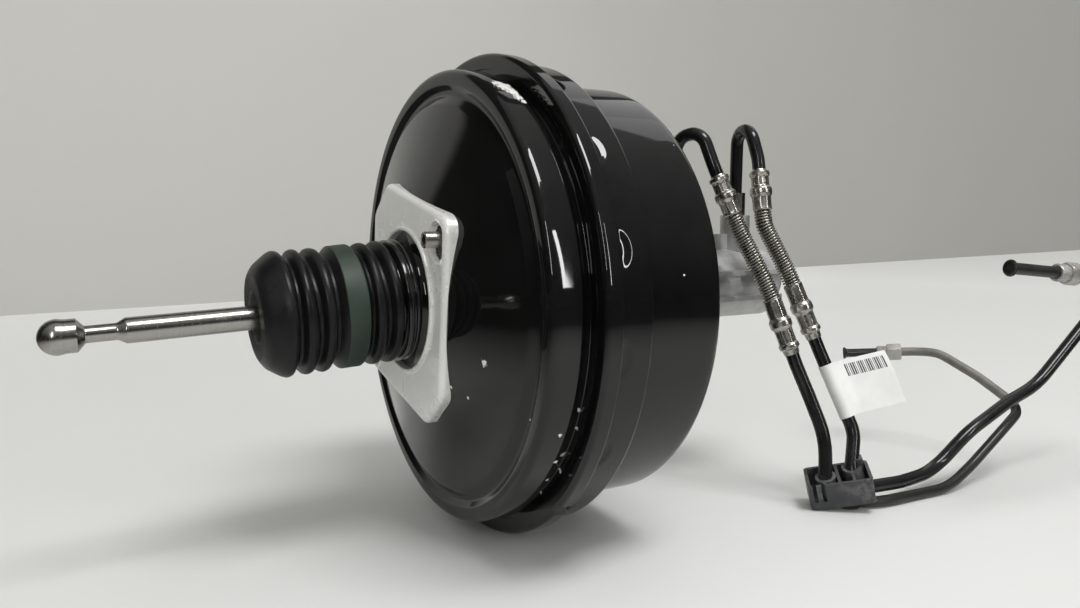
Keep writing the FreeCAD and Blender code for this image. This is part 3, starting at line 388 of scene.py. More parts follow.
def even_line(line: Sequence[Vector], spacing: float) -> list[Vector]:
    """Points at an even spacing along a line.

    Args:
        line: Points of the line.
        spacing: Distance between two points.

    Returns:
        The evenly spaced points, with both ends.
    """
    flat = np.array([tuple(p) for p in line])
    lengths = np.r_[0, np.cumsum(np.linalg.norm(np.diff(flat, axis=0), axis=1))]
    count = max(2, round(lengths[-1] / spacing) + 1)
    at = np.linspace(0, lengths[-1], count)
    return [Vector(p) for p in np.stack([np.interp(at, lengths, flat[:, k]) for k in range(3)], 1)]


def aimed(start: Vector, along: Vector) -> Matrix:
    """Placement that takes +X at the origin to a start point and direction."""
    turn = X_AXIS.rotation_difference(along.normalized()).to_matrix().to_4x4()
    return Matrix.Translation(start) @ turn


def drooped(degrees: float, station: float) -> Matrix:
    """Turn about the Y axis through a station of the booster axis, down at the rear."""
    pivot = Matrix.Translation((station, 0, 0))
    return pivot @ Matrix.Rotation(math.radians(-degrees), 4, "Y") @ pivot.inverted()


def smooth_step(values: np.ndarray) -> np.ndarray:
    """Ease a value from 0 to 1."""
    t = np.clip(values, 0, 1)
    return t * t * (3 - 2 * t)


def enter(name: str, mesh: bpy.types.Mesh, node: str,
          body: Optional[Body] = None) -> bpy.types.Object:
    """Put a mesh into the scene as a piece that stands for a CAD node.

    Args:
        name: Piece name.
        mesh: Its mesh.
        node: CAD node that it stands for.
        body: Body that it rides on, or None where that is said later.

    Returns:
        The new object.
    """
    piece = bpy.data.objects.new(name, mesh)
    bpy.context.scene.collection.objects.link(piece)
    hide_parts(node)
    if body is not None:
        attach(piece, body.value)
    LOG.info("%s: %d faces", name, len(mesh.polygons))
    return piece


class Wiring:
    """Shader tree in the making, with short ways to add and feed nodes."""

    def __init__(self, tree: bpy.types.NodeTree) -> None:
        """Take the tree to add to."""
        self.tree = tree

    def feed(self, socket: Socket, value: Feed) -> None:
        """Link an input to a socket, or set it to a number, vector or colour."""
        if isinstance(value, Socket):
            self.tree.links.new(value, socket)
        else:
            socket.default_value = value

    def add(self, kind: str, feeds: Optional[dict[str | int, Feed]] = None,
            **settings: object) -> Sockets:
        """Add a node.

        Args:
            kind: Type of the node.
            feeds: What goes into each input.
            settings: Options of the node.

        Returns:
            The node's outputs.
        """
        node = self.tree.nodes.new(kind)
        for label, value in settings.items():
            setattr(node, label, value)
        for label, value in (feeds or {}).items():
            self.feed(node.inputs[label], value)
        return node.outputs

    def mix(self, mask: Socket, a: Feed, b: Feed, kind: str = "RGBA") -> Socket:
        """Mix two colours or numbers by a mask.

        Args:
            mask: Mixing factor.
            a: Socket, colour or number at 0.
            b: Socket, colour or number at 1.
            kind: RGBA or FLOAT.

        Returns:
            The mixed socket.
        """
        first, second, out = (6, 7, 2) if kind == "RGBA" else (2, 3, 0)
        a, b = ((*v, 1.0) if isinstance(v, tuple) else v for v in (a, b))
        return self.add("ShaderNodeMix", {"Factor": mask, first: a, second: b}, data_type=kind)[out]

    def math(self, kind: str, a: Feed, b: Feed = 0.0, clamp: bool = False) -> Socket:
        """Result of a Math node on two sockets or numbers."""
        return self.add("ShaderNodeMath", {0: a, 1: b}, operation=kind, use_clamp=clamp)[0]

    def place(self) -> Socket:
        """Object coordinates."""
        return self.add("ShaderNodeTexCoord")["Object"]

    def distance(self, point: Feed) -> Socket:
        """Distance of the surface from a point."""
        return self.add("ShaderNodeVectorMath", {0: self.place(), 1: point}, operation="DISTANCE")["Value"]

    def noise(self, scale: Feed, detail: float = 4.0, rough: float = 0.55,
              stretch: Optional[Point3] = None) -> Socket:
        """Add a Noise node in object coordinates.

        Args:
            scale: Scale socket or number.
            detail: Noise detail.
            rough: Noise roughness.
            stretch: Scale of each axis before the noise.

        Returns:
            The noise value.
        """
        place = self.place()
        if stretch:
            place = self.add("ShaderNodeMapping", {"Vector": place, "Scale": stretch})["Vector"]
        feeds = {"Vector": place, "Scale": scale, "Detail": detail, "Roughness": rough}
        return self.add("ShaderNodeTexNoise", feeds)["Fac"]

    def ramp(self, value: Socket, low: Feed, high: Feed, to: Flat = (0.0, 1.0),
             kind: str = "SMOOTHSTEP") -> Socket:
        """Map a value from low..high to another range.

        Args:
            value: Value socket.
            low: Socket or number that gives the range's start.
            high: Socket or number that gives its end.
            to: The new range.
            kind: SMOOTHSTEP or LINEAR.

        Returns:
            The mapped value.
        """
        feeds = {"Value": value, "From Min": low, "From Max": high, "To Min": to[0], "To Max": to[1]}
        return self.add("ShaderNodeMapRange", feeds, interpolation_type=kind)["Result"]

    def group(self, tree: bpy.types.NodeTree, **feeds: Feed) -> Sockets:
        """Outputs of a shared group with its own values."""
        return self.add("ShaderNodeGroup", feeds, node_tree=tree)


# Effects that more than one finish uses

class Effects:
    """Shader node groups, each built once."""

    def __init__(self) -> None:
        """Build every group."""
        self.grain = self.built("surface_grain", {"Scale": 400.0, "Contrast": 0.3}, self.even_grain,
                                ("Value", "Height"))
        self.lines = self.built("turning_lines", {"Scale": 900.0}, self.turning_lines, ("Value", "Height"))
        self.wear = self.built("edge_wear", {"Amount": 0.3, "Scale": 300.0}, self.edge_wear)
        self.dust = self.built("dust_film", {"Amount": 0.3, "Scale": 60.0}, self.dust_film)
        self.scratches = self.built("fine_scratches", {"Amount": 0.3, "Scale": 90.0}, self.fine_scratches)
        self.chips = self.built("paint_chips", {"Rarity": 0.9, "Scale": 60.0}, self.paint_chips)
        self.spot = self.built("ragged_spot", {"Centre": (0.0, 0.0, 0.0), "Radius": 0.002}, self.ragged_spot)

    @staticmethod
    def built(name: str, inputs: dict[str, Feed], fill: Callable[..., tuple[Socket, ...]],
              outputs: Sequence[str] = ("Mask",)) -> bpy.types.NodeTree:
        """Build a group.

        Args:
            name: Group name.
            inputs: Default of each input.
            fill: Takes the wiring and the inputs, and gives one socket for each output.
            outputs: Names of the outputs.

        Returns:
            The group.
        """
        wires = Wiring(bpy.data.node_groups.new(name, "ShaderNodeTree"))
        for label, value in inputs.items():
            kind = "NodeSocketVector" if isinstance(value, tuple) else "NodeSocketFloat"
            made = wires.tree.interface.new_socket(label, in_out="INPUT", socket_type=kind)
            made.default_value = value
        for label in outputs:
            wires.tree.interface.new_socket(label, in_out="OUTPUT", socket_type="NodeSocketFloat")
        given = wires.tree.nodes.new("NodeGroupInput").outputs
        sink = wires.tree.nodes.new("NodeGroupOutput").inputs
        for label, socket in zip(outputs, fill(wires, given)):
            wires.feed(sink[label], socket)
        return wires.tree

    @staticmethod
    def even_grain(wires: Wiring, given: Sockets) -> tuple[Socket, ...]:
        """Even grain: a value and a height from one noise."""
        cloud = wires.noise(given["Scale"], 5.0)
        low, high = (wires.math(kind, 0.5, given["Contrast"]) for kind in ("SUBTRACT", "ADD"))
        return wires.ramp(cloud, low, high), cloud

    @staticmethod
    def turning_lines(wires: Wiring, given: Sockets) -> tuple[Socket, ...]:
        """Turning lines round the X axis of the part."""
        fine = wires.noise(given["Scale"], 4.0, 0.7, (1.0, 0.02, 0.02))
        return wires.ramp(fine, 0.3, 0.7), fine

    @staticmethod
    def edge_wear(wires: Wiring, given: Sockets) -> tuple[Socket, ...]:
        """Worn edges: where the surface is sharply convex, broken up by noise."""
        edge = wires.ramp(wires.add("ShaderNodeNewGeometry")["Pointiness"], 0.505, 0.56)
        patch = wires.ramp(wires.noise(given["Scale"], 6.0, 0.65), 0.42, 0.62)
        return (wires.math("MULTIPLY", wires.math("MULTIPLY", edge, patch), given["Amount"], True),)

    @staticmethod
    def dust_film(wires: Wiring, given: Sockets) -> tuple[Socket, ...]:
        """Dust that settles on faces that look up."""
        facing = wires.add("ShaderNodeSeparateXYZ", {0: wires.add("ShaderNodeNewGeometry")["Normal"]})["Z"]
        upward = wires.ramp(facing, -0.4, 1.0)
        cloud = wires.ramp(wires.noise(given["Scale"], 6.0, 0.6), 0.3, 0.75)
        fine = wires.ramp(wires.noise(1400.0, 2.0, 0.5), 0.35, 0.7)
        film = wires.math("MULTIPLY", wires.math("MULTIPLY", upward, cloud), fine)
        return (wires.math("MULTIPLY", film, given["Amount"], True),)

    @staticmethod
    def fine_scratches(wires: Wiring, given: Sockets) -> tuple[Socket, ...]:
        """Fine scratches in two directions."""
        one = wires.ramp(wires.noise(given["Scale"], 3.0, 0.6, (1.0, 14.0, 14.0)), 0.62, 0.68)
        two = wires.ramp(wires.noise(given["Scale"], 3.0, 0.6, (14.0, 13.0, 0.9)), 0.64, 0.70)
        return (wires.math("MULTIPLY", wires.math("MAXIMUM", one, two), given["Amount"], True),)

    @staticmethod
    def paint_chips(wires: Wiring, given: Sockets) -> tuple[Socket, ...]:
        """Sparse chips with broken edges."""
        cells = wires.add("ShaderNodeTexVoronoi", {"Vector": wires.place(), "Scale": given["Scale"]})
        share = wires.add("ShaderNodeSeparateColor", {0: cells["Color"]})[0]
        chosen = wires.math("GREATER_THAN", share, given["Rarity"])
        ragged = wires.math("MULTIPLY", wires.noise(900.0, 4.0), 0.12)
        near = wires.math("LESS_THAN", wires.math("ADD", cells["Distance"], ragged), 0.13)
        return (wires.math("MULTIPLY", chosen, near),)

    @staticmethod
    def ragged_spot(wires: Wiring, given: Sockets) -> tuple[Socket, ...]:
        """One ragged spot round a point of the surface."""
        ragged = wires.math("SUBTRACT", wires.noise(700.0, 5.0, 0.7), 0.5)
        wobble = wires.math("MULTIPLY", ragged, wires.math("MULTIPLY", given["Radius"], 4.0))
        reach = wires.math("ADD", wires.distance(given["Centre"]), wobble)
        return (wires.math("LESS_THAN", reach, given["Radius"]),)


@dataclass(frozen=True)
class Layer:
    """Wear, dust or marks laid over a finish: how much, how fine, and its colour and roughness."""

    amount: float
    scale: float
    colour: Colour
    rough: float = 0.6
    metal: float = 0.0


@dataclass(frozen=True)
class Spot:
    """One chip or dab of paint: where it is and how large, in millimetres, its colour and roughness."""

    centre: Point3
    radius: float
    colour: Colour = (0.72, 0.71, 0.68)
    rough: float = 0.7


@dataclass(frozen=True)
class Finish:
    """A finish of one kind of surface.

    The two colours and two roughnesses are mixed by the grain. Wear, dust, chips and scratches
    are laid over it where they are given.
    """

    name: str
    colour: Colour
    second: Colour
    rough: Flat
    grain: float = 120.0
    contrast: float = 0.25
    metallic: float = 0.0
    coat: float = 0.0
    coat_rough: float = 0.05
    specular: float = 0.5
    sheen: float = 0.0
    bump: float = 0.1
    bump_scale: float = 900.0
    bump_depth: float = 0.0001
    turned: float = 0.0
    wear: Optional[Layer] = None
    dust: Optional[Layer] = None
    chips: Optional[Layer] = None
    scratches: Optional[Layer] = None
    spots: tuple[Spot, ...] = ()

    def material(self, effects: Effects) -> bpy.types.Material:
        """Build the finish as a material.

        Args:
            effects: The shared node groups.

        Returns:
            The new material.
        """
        made = bpy.data.materials.new(self.name)
        made.use_nodes = True
        wires = Wiring(made.node_tree)
        if self.turned:
            even = fine = wires.group(effects.lines, Scale=self.turned)
        else:
            even = wires.group(effects.grain, Scale=self.grain, Contrast=self.contrast)
            fine = wires.group(effects.grain, Scale=self.bump_scale, Contrast=0.5)
        colour = wires.mix(even["Value"], self.colour, self.second)
        rough = wires.mix(even["Value"], *self.rough, "FLOAT")
        metal: Feed = self.metallic
        for layer, group, label in (
            (self.scratches, effects.scratches, "Amount"), (self.wear, effects.wear, "Amount"),
            (self.chips, effects.chips, "Rarity"), (self.dust, effects.dust, "Amount"),
        ):
            if layer is None:
                continue
            mask = wires.group(group, Scale=layer.scale, **{label: layer.amount})["Mask"]
            colour = wires.mix(mask, colour, layer.colour)
            rough = wires.mix(mask, rough, layer.rough, "FLOAT")
            if layer.metal != self.metallic:
                metal = wires.mix(mask, metal, layer.metal, "FLOAT")
        for spot in self.spots:
            centre = tuple(v * MM for v in spot.centre)
            mask = wires.group(effects.spot, Centre=centre, Radius=spot.radius * MM)["Mask"]
            colour = wires.mix(mask, colour, spot.colour)
            rough = wires.mix(mask, rough, spot.rough, "FLOAT")
        feeds = {"Strength": self.bump, "Distance": self.bump_depth, "Height": fine["Height"]}
        bump = wires.add("ShaderNodeBump", feeds)
        shader = made.node_tree.nodes["Principled BSDF"]
        for label, value in (
            ("Base Color", colour), ("Roughness", rough), ("Metallic", metal), ("Coat Weight", self.coat),
            ("Coat Roughness", self.coat_rough), ("Specular IOR Level", self.specular),
            ("Sheen Weight", self.sheen), ("Normal", bump["Normal"]),
        ):
            wires.feed(shader.inputs[label], value)
        return made


GREY_DUST = (0.42, 0.41, 0.39)
SHELL_CHIPS = tuple(Spot(centre, radius) for centre, radius in (
    ((29.0, -53.0, 107.2), 3.0), ((31.0, -56.5, 105.4), 4.2), ((32.0, -60.0, 103.5), 3.2),
    ((33.0, -63.0, 101.7), 2.3), ((33.0, -66.5, 99.4), 2.2), ((34.0, -69.5, 97.3), 1.5),
    ((10.5, -73.9, -23.4), 1.7), ((5.5, -47.4, -38.9), 0.8), ((9.1, -59.2, -42.5), 0.8),
    ((19.5, -114.4, -34.8), 0.6), ((42.0, -106.3, -42.6), 0.9), ((43.0, -103.1, -51.7), 0.8),
    ((31.3, -107.5, -52.4), 0.9), ((41.1, -93.2, -66.5), 1.3), ((34.5, -98.8, -67.4), 0.9),
    ((43.0, -88.3, -75.8), 1.0), ((35.2, -90.4, -78.3), 1.0), ((43.0, -70.3, -91.3), 0.9),
    ((94.3, -114.4, 16.9), 0.5),
))

FINISHES: dict[str, Finish] = {
    Slot.SHELL_PAINT.value: Finish(
        "gloss_black_enamel", (0.003, 0.003, 0.003), (0.005, 0.005, 0.005), (0.3, 0.4), grain=40.0,
        coat=1.0, coat_rough=0.045, specular=0.02, bump=0.2, bump_scale=190.0, bump_depth=0.00012,
        wear=Layer(0.22, 300.0, (0.1, 0.1, 0.095), 0.45), dust=Layer(0.02, 30.0, GREY_DUST, 0.7),
        chips=Layer(0.992, 90.0, (0.5, 0.5, 0.48), 0.6), spots=SHELL_CHIPS,
    ),
    Slot.ZINC.value: Finish(
        "bright_zinc_plate", (0.72, 0.72, 0.7), (0.84, 0.84, 0.82), (0.2, 0.34), grain=26.0, metallic=0.25,
        bump=0.25, bump_scale=150.0, bump_depth=0.0003, wear=Layer(0.3, 200.0, (0.5, 0.49, 0.46), 0.5, 0.3),
        chips=Layer(0.985, 220.0, (0.35, 0.34, 0.31), 0.6, 0.2),
        scratches=Layer(0.2, 30.0, (0.58, 0.58, 0.56), 0.4),
    ),
    Slot.STEEL.value: Finish(
        "turned_steel", (0.43, 0.42, 0.39), (0.48, 0.47, 0.435), (0.2, 0.25), grain=110.0, metallic=1.0,
        turned=620.0, bump=0.02, bump_depth=0.00003, chips=Layer(0.94, 300.0, (0.12, 0.1, 0.08), 0.7, 0.4),
        scratches=Layer(0.3, 60.0, (0.34, 0.32, 0.29), 0.45, 1.0),
        dust=Layer(0.08, 90.0, (0.3, 0.27, 0.23), 0.8),
    ),
    Slot.BOOT.value: Finish(
        "matt_moulded_rubber", (0.004, 0.004, 0.0045), (0.009, 0.009, 0.0095), (0.3, 0.44), grain=55.0,
        bump=0.3, bump_scale=620.0, bump_depth=0.00018, specular=0.26,
        wear=Layer(0.12, 120.0, (0.05, 0.05, 0.049), 0.7),
        dust=Layer(0.08, 45.0, (0.2, 0.195, 0.185), 0.85),
        chips=Layer(0.985, 330.0, (0.3, 0.29, 0.28), 0.7),
        scratches=Layer(0.1, 55.0, (0.06, 0.06, 0.058), 0.7),
    ),
    "gloss_rubber": Finish(
        "gloss_neck_rubber", (0.004, 0.004, 0.004), (0.008, 0.008, 0.008), (0.14, 0.24), grain=60.0,
        coat=0.7, coat_rough=0.08, specular=0.3, bump=0.25, bump_scale=420.0, bump_depth=0.0002,
        wear=Layer(0.4, 160.0, (0.2, 0.2, 0.19), 0.5), dust=Layer(0.05, 50.0, (0.2, 0.2, 0.19), 0.8),
    ),
    "grey_rubber": Finish(
        "worn_lip_rubber", (0.055, 0.055, 0.054), (0.1, 0.1, 0.097), (0.45, 0.6), grain=140.0, bump=0.3,
        bump_scale=700.0, wear=Layer(0.4, 200.0, (0.2, 0.2, 0.19), 0.6),
    ),
    Slot.SEAL.value: Finish(
        "seal_rubber", (0.02, 0.02, 0.022), (0.035, 0.035, 0.037), (0.42, 0.6), grain=90.0, bump=0.25,
        bump_scale=800.0, dust=Layer(0.1, 70.0, (0.2, 0.2, 0.19), 0.8),
    ),
    Slot.HOSE.value: Finish(
        "hose_rubber", (0.02, 0.02, 0.021), (0.032, 0.032, 0.033), (0.5, 0.66), grain=160.0, bump=0.3,
        bump_scale=1100.0, dust=Layer(0.12, 80.0, (0.22, 0.21, 0.2), 0.8),
    ),
    Slot.MOULDING.value: Finish(
        "phenolic_moulding", (0.05, 0.042, 0.036), (0.085, 0.07, 0.058), (0.34, 0.5), grain=210.0,
        bump=0.22, bump_scale=1300.0, wear=Layer(0.3, 200.0, (0.16, 0.13, 0.1), 0.6),
    ),
    Slot.FELT.value: Finish(
        "filter_felt", (0.24, 0.235, 0.22), (0.4, 0.39, 0.36), (0.8, 0.95), grain=700.0, sheen=0.3,
        bump=0.9, bump_scale=2100.0, bump_depth=0.0004,
    ),
    Slot.CASTING.value: Finish(
        "as_cast_aluminium", (0.44, 0.44, 0.435), (0.62, 0.62, 0.61), (0.38, 0.58), grain=95.0,
        metallic=0.85, bump=0.55, bump_scale=520.0, bump_depth=0.0003,
        wear=Layer(0.5, 220.0, (0.78, 0.78, 0.77), 0.3, 1.0),
        dust=Layer(0.35, 55.0, (0.3, 0.29, 0.27), 0.8),
    ),
    Slot.TURNED.value: Finish(
        "turned_aluminium", (0.6, 0.6, 0.6), (0.8, 0.8, 0.8), (0.18, 0.34), metallic=1.0, turned=800.0,
        bump=0.25, bump_depth=0.00006,
    ),
    Slot.SPRING.value: Finish(
        "drawn_wire", (0.26, 0.25, 0.215), (0.44, 0.425, 0.375), (0.22, 0.36), grain=200.0, metallic=1.0,
        bump=0.2, scratches=Layer(0.3, 120.0, (0.16, 0.14, 0.1), 0.6, 1.0),
    ),
    Slot.COATING.value: Finish(
        "coated_pipe", (0.005, 0.005, 0.0055), (0.01, 0.01, 0.01), (0.24, 0.36), grain=70.0, coat=0.55,
        coat_rough=0.1, specular=0.15, bump=0.2, bump_scale=320.0, bump_depth=0.00012,
        dust=Layer(0.07, 55.0, (0.25, 0.24, 0.22), 0.75), chips=Layer(0.985, 300.0, (0.3, 0.3, 0.29), 0.6),
        scratches=Layer(0.06, 60.0, (0.09, 0.09, 0.085), 0.5),
        spots=(Spot((324.0, -88.4, -115.8), 2.6, (0.16, 0.2, 0.08)),),
    ),
    Slot.CLIP.value: Finish(
        "moulded_nylon", (0.028, 0.029, 0.032), (0.05, 0.051, 0.055), (0.36, 0.52), grain=60.0, bump=0.3,
        bump_scale=900.0, bump_depth=0.00015, wear=Layer(0.5, 180.0, (0.17, 0.17, 0.17), 0.5),
        dust=Layer(0.18, 60.0, (0.22, 0.215, 0.21), 0.85),
        scratches=Layer(0.15, 70.0, (0.12, 0.12, 0.12), 0.6),
    ),
    Slot.VALVE.value: Finish(
        "valve_plastic", (0.03, 0.03, 0.032), (0.05, 0.05, 0.052), (0.32, 0.46), grain=140.0, bump=0.2,
        bump_scale=1000.0, dust=Layer(0.2, 60.0, (0.28, 0.27, 0.26), 0.8),
    ),
    Slot.PAPER.value: Finish(
        "label_paper", (0.66, 0.66, 0.645), (0.72, 0.72, 0.705), (0.5, 0.62), grain=90.0, bump=0.3,
        bump_scale=1500.0, bump_depth=0.00008, dust=Layer(0.12, 120.0, (0.55, 0.53, 0.5), 0.8),
    ),
    "green_band": Finish(
        "green_rubber_band", (0.014, 0.027, 0.018), (0.023, 0.038, 0.026), (0.48, 0.64), grain=60.0,
        bump=0.3, bump_scale=700.0, dust=Layer(0.12, 60.0, (0.13, 0.15, 0.13), 0.85),
        scratches=Layer(0.12, 60.0, (0.07, 0.09, 0.075), 0.7),
    ),
    "bright_ferrule": Finish(
        "crimped_zinc", (0.43, 0.415, 0.37), (0.54, 0.525, 0.475), (0.24, 0.32), grain=120.0, metallic=1.0,
        bump=0.025, bump_scale=420.0, bump_depth=0.0001,
        wear=Layer(0.25, 240.0, (0.74, 0.73, 0.69), 0.25, 1.0),
        scratches=Layer(0.14, 110.0, (0.24, 0.22, 0.18), 0.5, 1.0),
        dust=Layer(0.1, 80.0, (0.2, 0.18, 0.15), 0.8),
    ),
    "thin_coat": Finish(
        "thin_coated_pipe", (0.009, 0.009, 0.009), (0.02, 0.02, 0.0185), (0.28, 0.42), grain=90.0, coat=0.3,
        coat_rough=0.14, specular=0.25, bump=0.2, bump_scale=360.0,
        wear=Layer(0.25, 200.0, (0.1, 0.1, 0.09), 0.5),
        scratches=Layer(0.12, 60.0, (0.14, 0.14, 0.13), 0.5), dust=Layer(0.1, 70.0, (0.25, 0.24, 0.2), 0.8),
    ),
    "bare_pipe": Finish(
        "dull_plated_pipe", (0.14, 0.137, 0.12), (0.22, 0.215, 0.19), (0.4, 0.55), grain=120.0,
        metallic=0.35, bump=0.2, bump_scale=500.0,
        scratches=Layer(0.35, 90.0, (0.09, 0.085, 0.075), 0.55, 0.3),
        dust=Layer(0.3, 70.0, (0.36, 0.35, 0.32), 0.8, 0.2),
    ),
    "dull_nut": Finish(
        "dull_plated_nut", (0.34, 0.33, 0.3), (0.5, 0.49, 0.46), (0.38, 0.54), grain=130.0, metallic=0.6,
        bump=0.35, bump_scale=480.0, bump_depth=0.0002,
        wear=Layer(0.5, 260.0, (0.66, 0.65, 0.62), 0.35, 0.8),
        dust=Layer(0.3, 80.0, (0.3, 0.28, 0.25), 0.8, 0.3),
    ),
    "ink": Finish(
        "label_ink", (0.03, 0.03, 0.032), (0.06, 0.06, 0.062), (0.45, 0.6), grain=900.0, contrast=0.4,
        bump=0.1,
    ),
}


class Palette:
    """Every finish as a material."""

    def __init__(self) -> None:
        """Build the groups and the materials."""
        effects = Effects()
        self.made = {name: finish.material(effects) for name, finish in FINISHES.items()}

    def piece(self, name: str, shape: Shape, slot: Slot, node: str, body: Optional[Body] = Body.HOUSING,
              crease: float = 34.0, finishes: Sequence[Slot | str] = ()) -> bpy.types.Object:
        """Make a dressed piece of a shape and tie it to its body.

        Args:
            name: Piece name.
            shape: Its shape.
            slot: Material slot of the record.
            node: CAD node that it stands for.
            body: Body that it rides on, or None to leave it on no body.
            crease: Angle over which an edge stays sharp, in degrees.
            finishes: Its finishes in the order of the shape's tags, where they aren't the slot's own.

        Returns:
            The new object.
        """
        mesh = bpy.data.meshes.new(name)
        mesh.from_pydata((shape.points * MM).tolist(), [], shape.faces)
        for finish in finishes or (slot,):
            mesh.materials.append(self.made[finish.value if isinstance(finish, Slot) else finish])
        mesh.polygons.foreach_set("material_index", shape.tags)
        work = bmesh.new()
        work.from_mesh(mesh)
        bmesh.ops.recalc_face_normals(work, faces=work.faces)
        work.to_mesh(mesh)
        work.free()
        mesh.shade_smooth()
        mesh.set_sharp_from_angle(angle=math.radians(crease))
        return enter(name, mesh, node, body)

    def dress_nodes(self) -> None:
        """Give every CAD node the finish of its own slot."""
        for name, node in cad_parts.items():
            for holder in node.material_slots:
                key = holder.material.name.split(".")[0] if holder.material else ""
                if key not in self.made:
                    raise KeyError(f"{name} has no finish named {key}")
                holder.material = self.made[key]


# Sub-assemblies

@dataclass
class Booster:
    """The two crimped shells with the mounting plate and its studs."""

    wall: float = 1.6
    rear_path: tuple[Corner, ...] = (
        (-9.0, 29.5, 0.0), (2.6, 29.5, 5.0), (2.6, 52.0, 3.0), (18.2, 102.2, 3.0), (22.4, 107.3, 3.0),
        (19.8, 112.0, 3.0), (19.8, 119.6, 6.0), (35.5, 119.6, 1.6), (39.2, 114.5, 1.6), (43.0, 114.5, 1.0),
        (43.0, 127.0, 0.0),
    )
    front_path: tuple[Corner, ...] = (
        (41.4, 121.4, 0.0), (41.4, 129.3, 2.4), (50.3, 129.3, 1.4), (51.5, 125.1, 0.9), (69.5, 125.1, 2.2),
        (71.6, 115.6, 2.0), (119.5, 115.6, 7.0), (119.5, 24.3, 0.0),
    )
    band: Flat = (51.6, 69.0)
    lance_count: int = 16
    lance_first: float = 98.5
    lance_start: float = 52.0
    lance_reach: float = 7.4
    lance_half: float = 10.0
    lance_depth: float = 0.75
    skin_r: float = 124.6
    notch_angle: float = -131.5
    notch_span: Flat = (41.0, 50.6)
    notch_r: float = 128.0
    notch_half: float = 3.0
    notch_depth: float = 1.6
    plate_corners: tuple[Corner, ...] = ((24.5, 62.0, 6.0), (-56.0, 43.5, 11.0), (-45.7, -46.0, 11.0))
    plate_rim: float = 38.7
    plate_edge: float = 3.2
    plate_wall: float = 2.6
    plate_depth: float = 8.2
    cone_start: float = 52.0
    cone_slope: float = 0.3108
    window_size: Flat = (7.4, 8.8)
    window_rise: float = 1.4
    window_floor: float = 2.3
    window_lip: float = 0.95
    stud_pitch: float = 56.0
    stud_angle: float = 144.0
    stud_r: float = 4.0

    def build(self, palette: Palette) -> None:
        """Make and dress every piece of the booster's outside.

        Args:
            palette: The materials.
        """
        rear = lathe(sheet(self.rear_path, self.wall, 4.0), 360)
        palette.piece("rear_shell_skin", rear, Slot.SHELL_PAINT, "rear_shell")
        palette.piece("front_shell_skin", self.front_shape(), Slot.SHELL_PAINT, "front_shell")
        palette.piece("mounting_plate_skin", self.plate_shape(), Slot.ZINC, "mounting_plate", crease=50.0,
                      finishes=(Slot.ZINC, Slot.SHELL_PAINT))
        palette.piece("mounting_stud_pair", self.stud_shape(), Slot.STEEL, "mounting_studs",
                      finishes=("bright_ferrule",))

    def front_shape(self) -> Shape:
        """Front shell with its pressed lances and the notch in its rim."""
        return lathe(sheet(self.front_path, self.wall, 4.0, (41.0, 70.0)), 900).pushed(self.press)

    def press(self, points: np.ndarray) -> np.ndarray:
        """Press the lances and the notch into the front shell's outer face.

        Args:
            points: Points of the plain shell.

        Returns:
            The pressed points.
        """
        x, y, z = points.T
        r = np.hypot(y, z)
        angle = np.degrees(np.arctan2(z, y))
        pitch = 360 / self.lance_count
        away = (angle - self.lance_first + pitch / 2) % pitch - pitch / 2
        arc = np.radians(away) * r
        along = (x - self.lance_start) / self.lance_reach
        plan = 1 - (arc / self.lance_half) ** 2 - np.clip(along, 0, None) ** 2
        depth = self.lance_depth * smooth_step(plan * 1.05) * smooth_step((x - self.lance_start) * 0.6)
        outside = (x > self.band[0]) & (x < self.band[1]) & (r > self.skin_r)
        r = np.where(outside, r - depth, r)
        off = (angle - self.notch_angle + 180) % 360 - 180
        bite = self.notch_depth * smooth_step(1.6 - np.abs(np.radians(off) * r) / self.notch_half)
        rim = (x > self.notch_span[0]) & (x < self.notch_span[1]) & (r > self.notch_r)
        r = np.where(rim, r - bite, r)
        return polar(x, r, np.arctan2(z, y))

    def outline(self, inset: float, angles: np.ndarray) -> np.ndarray:
        """Distance from the axis to the plate's edge.

        Args:
            inset: How far inside the edge.
            angles: Angles about the axis.

        Returns:
            Distance at each angle.
        """
        half = [Vector((y, z)) for y, z, _ in self.plate_corners]
        line = half + [-p for p in half]
        bends = [b for _, _, b in self.plate_corners] * 2
        moved: list[Corner] = []
        for i, corner in enumerate(line):
            into = (corner - line[i - 1]).normalized()
            out = (line[(i + 1) % len(line)] - corner).normalized()
            inward = (out - into).normalized()
            point = corner + inward * (inset / math.cos(into.angle(out) / 2))
            moved.append((point.x, point.y, max(bends[i] - inset, 1.0)))
        middle = ((moved[-1][0] + moved[0][0]) / 2, (moved[-1][1] + moved[0][1]) / 2, 0.0)
        edge = np.array(resampled(rounded([middle] + moved + [middle], 3.0), 0.6))
        turns = np.arctan2(edge[:, 1], edge[:, 0])
        order = np.argsort(turns)
        return np.interp(angles, turns[order], np.hypot(edge[:, 0], edge[:, 1])[order], period=2 * math.pi)

